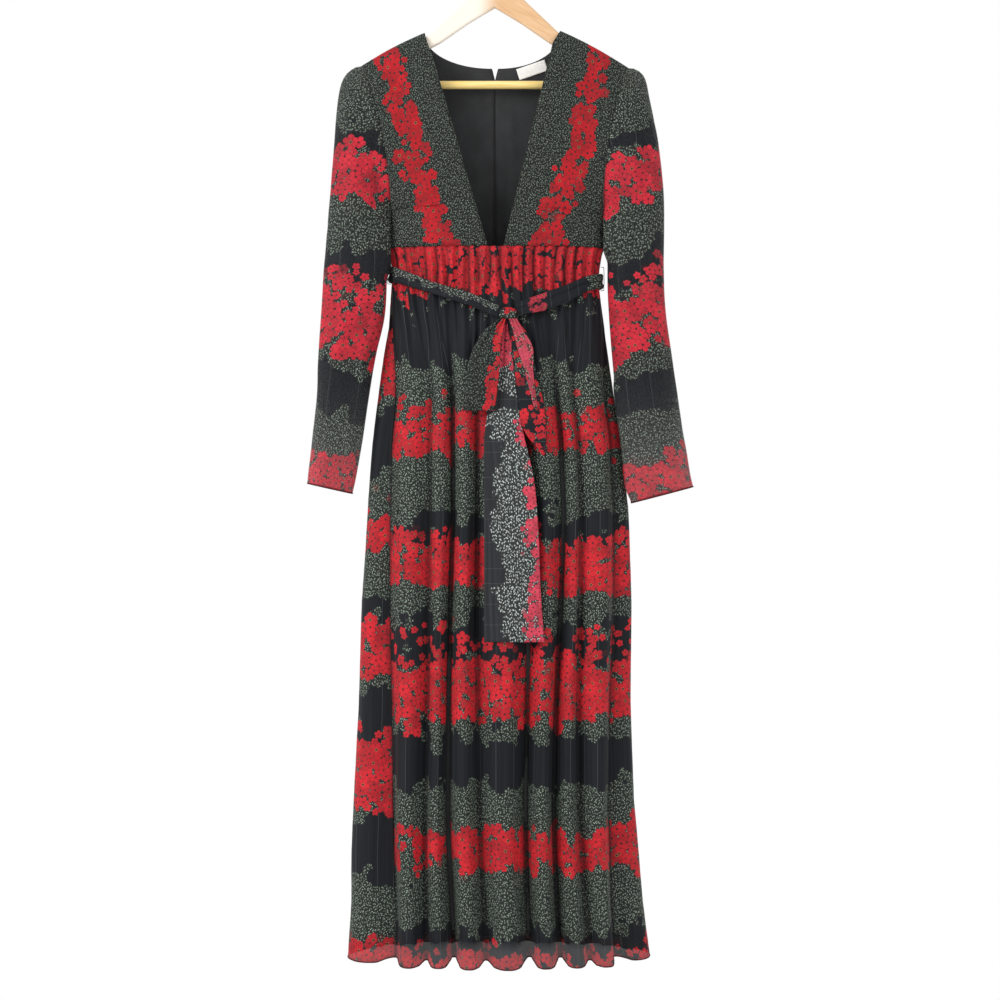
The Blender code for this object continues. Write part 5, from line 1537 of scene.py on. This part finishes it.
            # painted shade: the valleys of folds and gathers darken through the crease attribute
            cloth.crease = np.clip(0.78 * folds[:, pick] + 1.05 * gathers[:, pick], 0.0, 0.92)
            edge = from_ends(cloth.flat[..., 0] - cloth.flat[:, :1, 0], 1)
            cloth.push(-0.6 * near(edge, 1.6) + smooth_share(edge, 0, 5)
                       * (wave(cloth, 5.0, 34.0, 0.22, 47) - self.presses[0] * folds[:, pick]
                          - self.presses[1] * gathers[:, pick]))
            finish = SKIRT_BACK_PRINT if name == "skirt_back_left" else SKIRT_PRINT
            thing = cloth.build(finish, name)
            hem = add_edge(cloth.edge(name + "_hem", (-1, slice(None)), self.hem_roll), ROLLED)
        self.build_lining()

    def build_lining(self) -> None:
        """The black slip, with the same folds, shallower."""
        drops = level_drops(self.lining_rows)
        ring = np.linspace(0, RING_CELLS, RING_CELLS * 2 + 1)
        height = self.fold_height(ring)
        rows = []
        for drop in drops:
            section = Section(float(drop))
            inset = float(np.interp(drop, *zip(*self.lining_inset)))
            out = self.lining_share * section.fold * height - inset
            x, y = section.moved(self.turns(ring, float(drop), section), out)
            rows.append(at_drop(x, y, drop))
        full = np.stack(rows)
        around = arc_lengths(full, 1)[-1]
        flat = pairs(around[None, :], drops[:, None])
        for name, first, last, size in LINING_PANELS:
            pick = slice(first * 2, last * 2 + 1)
            cloth = Cloth(name + "_cloth", full[:, pick].copy(), flat[:, pick].copy())
            thing = cloth.build(LINING, name)


# ---------------------------------------------------------------- belt
@dataclass(frozen=True)
class Ribbon:
    """A hanging stretch of the belt, and the sheet that it was cut as."""

    name: str
    rows: Table                 # drop, left, right and stand-off
    columns: int                # points across
    count: int                  # points down
    pleats: float               # that the knot makes in it
    size: tuple[float, float]   # flat width and length, metres
    area: float                 # square metres


KNOT_CENTRE = (19.0, 422.0)
KNOT_SIZE = (26.0, 14.0, 18.0)
TOP = KNOT_CENTRE[1] + KNOT_SIZE[2] / 2 - 1.0       # of the ribbons, up in the knot
RIBBONS = (
    Ribbon("belt_tail_long", (
        (TOP, 9, 28, 4.5), (488, 4, 27, 3.4), (544, -6, 33, 3.4), (598, -15, 42, 3.4),
        (665, -15.7, 57, 3.4), (748, -15.7, 64, 3.4), (830, -15.6, 67, 3.4),
        (903, -15.7, 72, 3.4)), 40, 110, 3.0, (0.08, 0.48), 0.030),
    Ribbon("belt_tail_short", (
        (TOP, 17, 31, 8.0), (455, 22, 50, 7.0), (483, 27, 57, 7.0), (516, 30, 62, 7.0),
        (548, 34, 70, 7.0), (597, 44, 75, 7.0), (631, 70, 75, 7.0)), 26, 60, 3.0,
        (0.045, 0.21), 0.0062),
    Ribbon("bow_loop_right", (
        (TOP, 20, 31.5, 11.5), (451, 27, 44, 11.0), (468, 31, 54, 10.5), (505, 43, 56, 10.0),
        (563, 57.5, 62, 10.0)), 22, 44, 2.5, (0.027, 0.135), 0.0022))
LEFT_LOOP = Ribbon("bow_loop_left", (
    (TOP, 6.5, 15.5, 13.0), (446, -14, 12, 13.0), (466, -28, 9, 12.5), (511, -42, 6, 12.5),
    (563, -46.5, 0, 12.5)), 34, 44, 2.5, (0.048, 0.29), 0.0112)


@dataclass
class Belt:
    """The tie belt round the dress, its knot, loops and hanging ends."""

    front: Table = ((-157.0, 357, 24), (-93.0, 382, 18), (-34.0, 401, 20), (5.0, 419, 19),
                    (33.0, 414, 20), (67.0, 405, 26), (104.0, 391, 26), (134.0, 375, 23),
                    (159.0, 368, 22))          # x, drop of the middle line, height
    back: Table = ((-157.0, 357, 24), (-80.0, 375, 24), (0.0, 383, 25), (80.0, 380, 24),
                   (159.0, 368, 22))
    stand_off: float = 2.8      # outer face of the belt above the gathers
    sag: float = 3.0            # how far the front's lower edge leans out
    back_run: float = 330.0     # taken off the back's lengths, so its print has its own place
    loop_radius: float = 2.5    # of the left loop's bend at its foot
    loop_bend: int = 11         # rows round it
    loop_bellies: tuple[float, float] = (1.6, -0.6)     # how far its two layers swell

    def stretch(self, name: str, stations: Table, first: float, last: float, count: int,
                sag: float) -> Cloth:
        """A stretch of belt that follows the skirt's section between two turns.

        Args:
            name: Of its node.
            stations: Its table of x, drop and height.
            first: The turn where it starts.
            last: The turn where it ends.
            count: Points along it.
            sag: How far its lower edge leans out.

        Returns:
            The pleated cloth.
                """
        table = np.array(stations, float)
        turns = np.linspace(first, last, count)
        rough, _ = Section(370.0).place(turns)
        middle, height = (np.interp(rough, table[:, 0], table[:, k]) for k in (1, 2))
        lean = sag * smooth_share(np.abs(np.sin(np.pi * turns)), 0.3, 1.0)
        shares = np.linspace(0, 1, 15)
        spots = np.zeros((len(shares), count, 3))
        for c, turn in enumerate(turns):
            for r, share in enumerate(shares):
                drop = middle[c] + height[c] * (share - 0.5)
                section = Section(round(float(drop)))
                crease = float(np.interp(share, (0, 0.25, 0.5, 0.75, 1), (0, 0.9, -0.3, 0.9, 0)))
                out = 3.0 * gather_share(turn) + section.fold + self.stand_off + crease \
                    + lean[c] * share
                x, y = section.moved(np.array([turn]), np.array([out]))
                spots[r, c] = at_drop(x[0], y[0], drop)
        along = arc_lengths(spots, 1)
        centre = len(shares) // 2
        down = arc_lengths(spots, 0)
        run = along[centre] + spots[centre, 0, 0] - (0.0 if first < 1.0 else self.back_run)
        cloth = Cloth(name + "_cloth", spots, pairs(down, run), wall=1.0)
        share = shares[:, None]
        pleats = 0.55 * np.sin(2 * np.pi * (2.6 * share + 0.7 * ripple(run / 60.0, 0.3, 51)))
        slant = 0.5 * ripple((run[None, :] + 40 * share) / 9.0, share * 2.0, 52)
        edge = from_ends(share, 0)
        return cloth.push((pleats + slant) * smooth_share(edge, 0, 0.12)
                          - 0.4 * near(edge, 0.05))

    def hang(self, ribbon: Ribbon, drops: Array, behind: float = 0.0,
             belly: float = 0.0) -> Array:
        """A ribbon's points, pinched into pleats under the knot.

        Args:
            ribbon: The one to make.
            drops: Of its rows.
            behind: How far they lie behind the table's face.
            belly: How far its middle swells forward.

        Returns:
            The grid of points.
        """
        table = np.array(ribbon.rows, float)
        read = curve_through(drops, table[:, 0], table[:, 1:])
        share = np.linspace(0, 1, ribbon.columns)[None, :]
        top, foot = table[0, 0], table[-1, 0]
        x = read[:, :1] + (read[:, 1:2] - read[:, :1]) * share
        fade = np.exp(-(drops - top) / 55.0)[:, None]
        run = ((drops - top) / (foot - top))[:, None]
        pleat = 1.5 * fade * np.cos(2 * np.pi * ribbon.pleats * share) \
            + 0.9 * (1 - fade) * np.sin(2 * np.pi * (0.8 * share + 0.6 * run))
        pleat = pleat + 0.5 * ripple(share * ribbon.columns / 3.0, drops[:, None] / 60.0, 53)
        swell = belly * np.sin(np.pi * np.clip(run, 0, 1))
        y = -front_reach(drops)[:, None] - read[:, 2:3] + behind + pleat - swell
        return at_drop(x, y, drops[:, None])

    def add_ribbon(self, ribbon: Ribbon, spots: Array, drops: Array) -> None:
        """Make a ribbon of its points, whose flat sizes are across from its middle, and down."""
        across = arc_lengths(spots, 1)
        cloth = Cloth(ribbon.name + "_cloth", spots,
                      pairs(across - across[:, -1:] / 2, drops[:, None]))
        thing = cloth.build(BELT_PRINTS[ribbon.name], ribbon.name)

    def build(self) -> None:
        """Make every stretch."""
        level = Section(415.0)
        left, right = (KNOT_CENTRE[0] + side * (KNOT_SIZE[0] / 2 - 1.0) for side in (-1, 1))
        stop, start = (level.turn((x - level.middle) / level.half, True) for x in (left, right))
        for name, stations, first, last, count, sag, size in (
                ("belt_front_left", self.front, 0.0, stop, 90, self.sag, (0.026, 0.19)),
                ("belt_front_right", self.front, start, 1.0, 80, self.sag, (0.028, 0.155)),
                ("belt_back", self.back, 1.0, 2.0, 140, 0.0, (0.029, 0.36))):
            cloth = self.stretch(name, stations, first, last, count, sag)
            thing = cloth.build(BELT_PRINTS[name], name)
        self.build_knot()
        self.build_bow()

    def build_knot(self) -> None:
        """The knot: a rounded lump with the wraps of the cloth pressed into it."""
        drop = KNOT_CENTRE[1]
        reach = float(front_reach(np.array([drop]))[0])
        size = Vector(KNOT_SIZE) / 2
        centre = Vector(at_drop(KNOT_CENTRE[0], -reach - 0.8 - size.y, drop).tolist())
        form = bmesh.new()
        bmesh.ops.create_uvsphere(form, u_segments=64, v_segments=40, radius=1.0)
        for vert in form.verts:
            way = vert.co.normalized()
            power = 2.0 / 2.9
            block = Vector([math.copysign(abs(part) ** power, part) for part in way])
            twist = math.atan2(way.z, way.x)
            lines = math.cos(7.0 * way.x + 4.2 * way.z + 1.4 * way.y) \
                + 0.5 * math.cos(11.0 * way.z - 6.0 * way.x + 0.8 * math.sin(twist))
            depth = 0.55 * max(0.0, lines - 0.25)
            vert.co = (centre + Vector([b * s for b, s in zip(block, size)])
                       - way * depth) * MM
        layer = form.loops.layers.uv.new("cloth")
        for face in form.faces:
            face.smooth = True
            for loop in face.loops:
                spot = loop.vert.co - centre * MM
                loop[layer].uv = (spot.x + spot.y * 0.8, spot.z + spot.y * 0.6)
        add_piece("belt_knot_cloth", finished("belt_knot_cloth", form),
                  BELT_PRINTS["belt_knot"], "belt_knot")

    def build_bow(self) -> None:
        """Two loops and two hanging ends."""
        for ribbon in RIBBONS:
            drops = np.linspace(ribbon.rows[0][0], ribbon.rows[-1][0], ribbon.count)
            self.add_ribbon(ribbon, self.hang(ribbon, drops), drops)
        foot, radius = LEFT_LOOP.rows[-1][0], self.loop_radius
        down = np.linspace(TOP, foot, LEFT_LOOP.count)
        bend = np.linspace(0, math.pi, self.loop_bend)[1:-1]
        front = self.hang(LEFT_LOOP, down, belly=self.loop_bellies[0])
        under = np.stack([
            self.hang(LEFT_LOOP, np.array([foot]), radius * (1 - math.cos(angle)))[0]
            - np.array([0, 0, radius * math.sin(angle)]) for angle in bend])
        behind = self.hang(LEFT_LOOP, down[::-1], 2 * radius, self.loop_bellies[1])
        self.add_ribbon(LEFT_LOOP, np.concatenate((front, under, behind)), np.concatenate(
            (down, foot + radius * bend, foot + radius * math.pi + (foot - down[::-1]))))


@dataclass(frozen=True)
class ThreadLoop:
    """A loop of two twisted threads that holds the belt at a side seam."""

    side: Side
    top: float
    foot: float
    reach: float = 5.3          # from the seam to the outside of the loop
    radius: float = 0.42

    def build(self) -> None:
        """Make the loop as a tube with the threads' twist."""
        turn = np.array([0.0 if self.side is Side.LEFT else 1.0])
        sign = self.side.sign
        drops = (self.top, (self.top + self.foot) / 2, self.foot)
        above, seam, below = (Section(drop).place(turn)[0][0] + sign * 1.0 for drop in drops)
        far = seam + sign * self.reach
        route = ((above, self.top - 0.5), (far - sign * 1.9, self.top + 0.2),
                 (far, self.top + 3.0), (far, self.foot - 3.0),
                 (far - sign * 1.9, self.foot - 0.2), (below, self.foot + 0.5))
        line = curve_through(np.linspace(0, 5, 61), np.arange(6), route)
        line = at_drop(line[:, 0], 0.0, line[:, 1])
        depth = np.broadcast_to((0.0, 1.0, 0.0), line.shape)
        turns = np.linspace(0, 2 * np.pi, 13)
        length = arc_lengths(line[None], 1)[0]
        size = self.radius * (1 + 0.16 * np.cos(2 * (turns[None, :] - length[:, None] * 2.2)))
        spots = line[:, None] + size[..., None] * rings(line, depth, turns)
        flat = pairs(turns[None, :] * self.radius, length[:, None])
        name = f"thread_loop_{self.side.value}"
        add_edge(Cloth(name + "_twist", spots, flat, closed=True), THREAD, name)


# ---------------------------------------------------------------- label and hanger
@dataclass
class NeckLabel:
    """A blank woven label on the right back lining."""

    centre: tuple[float, float] = (56.0, 46.5)
    size: tuple[float, float] = (45.0, 17.0)
    tilt: float = 18.0

    def build(self, lining: Cloth) -> None:
        """Lay the label on the lining's inner face."""
        across = np.linspace(-0.5, 0.5, 25)[None, :] * self.size[0]
        down = np.linspace(-0.5, 0.5, 11)[:, None] * self.size[1]
        lean = math.radians(self.tilt)
        x = self.centre[0] + across * math.cos(lean) + down * math.sin(lean)
        drop = self.centre[1] - across * math.sin(lean) + down * math.cos(lean)
        order = np.argsort(lining.spots[0, :, 0])
        rows = lining.spots[:, order]
        depth = np.zeros_like(x)
        for index in np.ndindex(x.shape):
            crossings = [(-SHOULDER_BELOW_RAIL - np.interp(x[index], row[:, 0], row[:, 2]),
                          np.interp(x[index], row[:, 0], row[:, 1])) for row in rows]
            crossings.sort()
            depth[index] = np.interp(drop[index], *zip(*crossings))
        curl = 0.5 * smooth_share(down / self.size[1], 0.1, 0.5) \
            * (1 + np.sin(across / 6.0)) / 2
        spots = at_drop(x, depth - 1.9 - curl, drop)
        cloth = Cloth("neck_label_cloth", spots, pairs(across, down), wall=0.5)
        thing = cloth.build(LABEL_CLOTH, "neck_label")


@dataclass
class Fittings:
    """The solids whose own shape is right: hanger and zip."""

    finishes: dict[str, Timber | Hardware] = field(default_factory=lambda: {
        "hanger_arms": ARM_WOOD, "hanger_bar": BAR_WOOD, "hanger_hook": STEEL,
        "zip_slider": ZIP_METAL, "zip_pull_tab": ZIP_METAL, "zip_tape": ZIP_TAPE})

    def dress(self) -> None:
        """Give each solid its finish."""
        for name, finish in self.finishes.items():
            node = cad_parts[name]
            for slot in node.material_slots:
                slot.material = finish.material()
            log.info("%s: %s", name, finish.name)


# ---------------------------------------------------------------- studio
@dataclass
class Studio:
    """Floor, light and camera."""

    eye: tuple[float, float, float] = (0.0075, -2.3, -0.8325)
    lens: float = 55.2
    floor_drop: float = 1.9
    floor_radius: float = 0.88
    lights: tuple[tuple, ...] = (("key", (-2.2, -1.7, 0.3), (0, 0, -0.8), 1.2, 52.0),
                                 ("fill", (1.9, -2.2, -0.5), (0, 0, -0.9), 1.8, 14.0))
    # each light's name, place, target, size and power

    def build(self) -> None:
        """Make the floor, the lights, the white surroundings and the camera."""
        scene = bpy.context.scene
        scene.view_settings.view_transform = "Standard"
        form = bmesh.new()
        bmesh.ops.create_circle(form, cap_ends=True, segments=96, radius=self.floor_radius)
        bmesh.ops.translate(form, vec=(0, 0, -self.floor_drop), verts=form.verts)
        floor = bpy.data.objects.new("floor", finished("floor", form))
        shade, weaver = new_material("pale_floor")
        weaver.fill(shade.node_tree.nodes["Principled BSDF"],
                    {"Base Color": (0.86, 0.86, 0.85, 1)})
        floor.data.materials.append(shade)
        scene.collection.objects.link(floor)
        self.add_world(scene)
        for light in self.lights:
            self.add_light(*light)
        camera = bpy.data.cameras.new("camera")
        camera.lens = self.lens
        camera.sensor_width = 36.0
        view = bpy.data.objects.new("camera", camera)
        view.location = self.eye
        view.rotation_euler = (math.pi / 2, 0, 0)
        scene.collection.objects.link(view)
        scene.camera = view

    def add_world(self, scene: bpy.types.Scene) -> None:
        """White surroundings that light the dress more softly than they look."""
        world = bpy.data.worlds.new("studio")
        world.use_nodes = True
        weaver = Weaver(world.node_tree)
        seen = weaver.add("LightPath").outputs["Is Camera Ray"]
        strength = weaver.add("MapRange", {0: seen, 3: 0.78, 4: 1.0}).outputs[0]
        weaver.fill(world.node_tree.nodes["Background"],
                    {"Color": (1, 1, 1, 1), "Strength": strength})
        scene.world = world

    def add_light(self, name: str, place: tuple[float, float, float],
                  target: tuple[float, float, float], size: float, power: float) -> None:
        """A square soft light that looks at a point.

        Args:
            name: Of the light.
            place: Where it stands.
            target: What it looks at.
            size: Its width in metres.
            power: In watts.
                """
        light = bpy.data.lights.new(name, "AREA")
        light.size = size
        light.energy = power
        thing = bpy.data.objects.new(name, light)
        thing.location = place
        way = Vector(target) - Vector(place)
        thing.rotation_euler = way.to_track_quat("-Z", "Y").to_euler()
        bpy.context.scene.collection.objects.link(thing)


def main() -> None:
    """Build the whole scene."""
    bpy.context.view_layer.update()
    Studio().build()
    bodice = Bodice()
    bodice.build()
    for sleeve in (LEFT_SLEEVE, RIGHT_SLEEVE):
        sleeve.build()
    Skirt().build()
    Belt().build()
    for loop in (ThreadLoop(Side.LEFT, 341.0, 372.0), ThreadLoop(Side.RIGHT, 347.0, 382.0)):
        loop.build()
    NeckLabel().build(bodice.inner_back)
    Fittings().dress()
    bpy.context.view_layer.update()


if __name__ == "__main__":
    logging.basicConfig(level=logging.INFO)
    main()
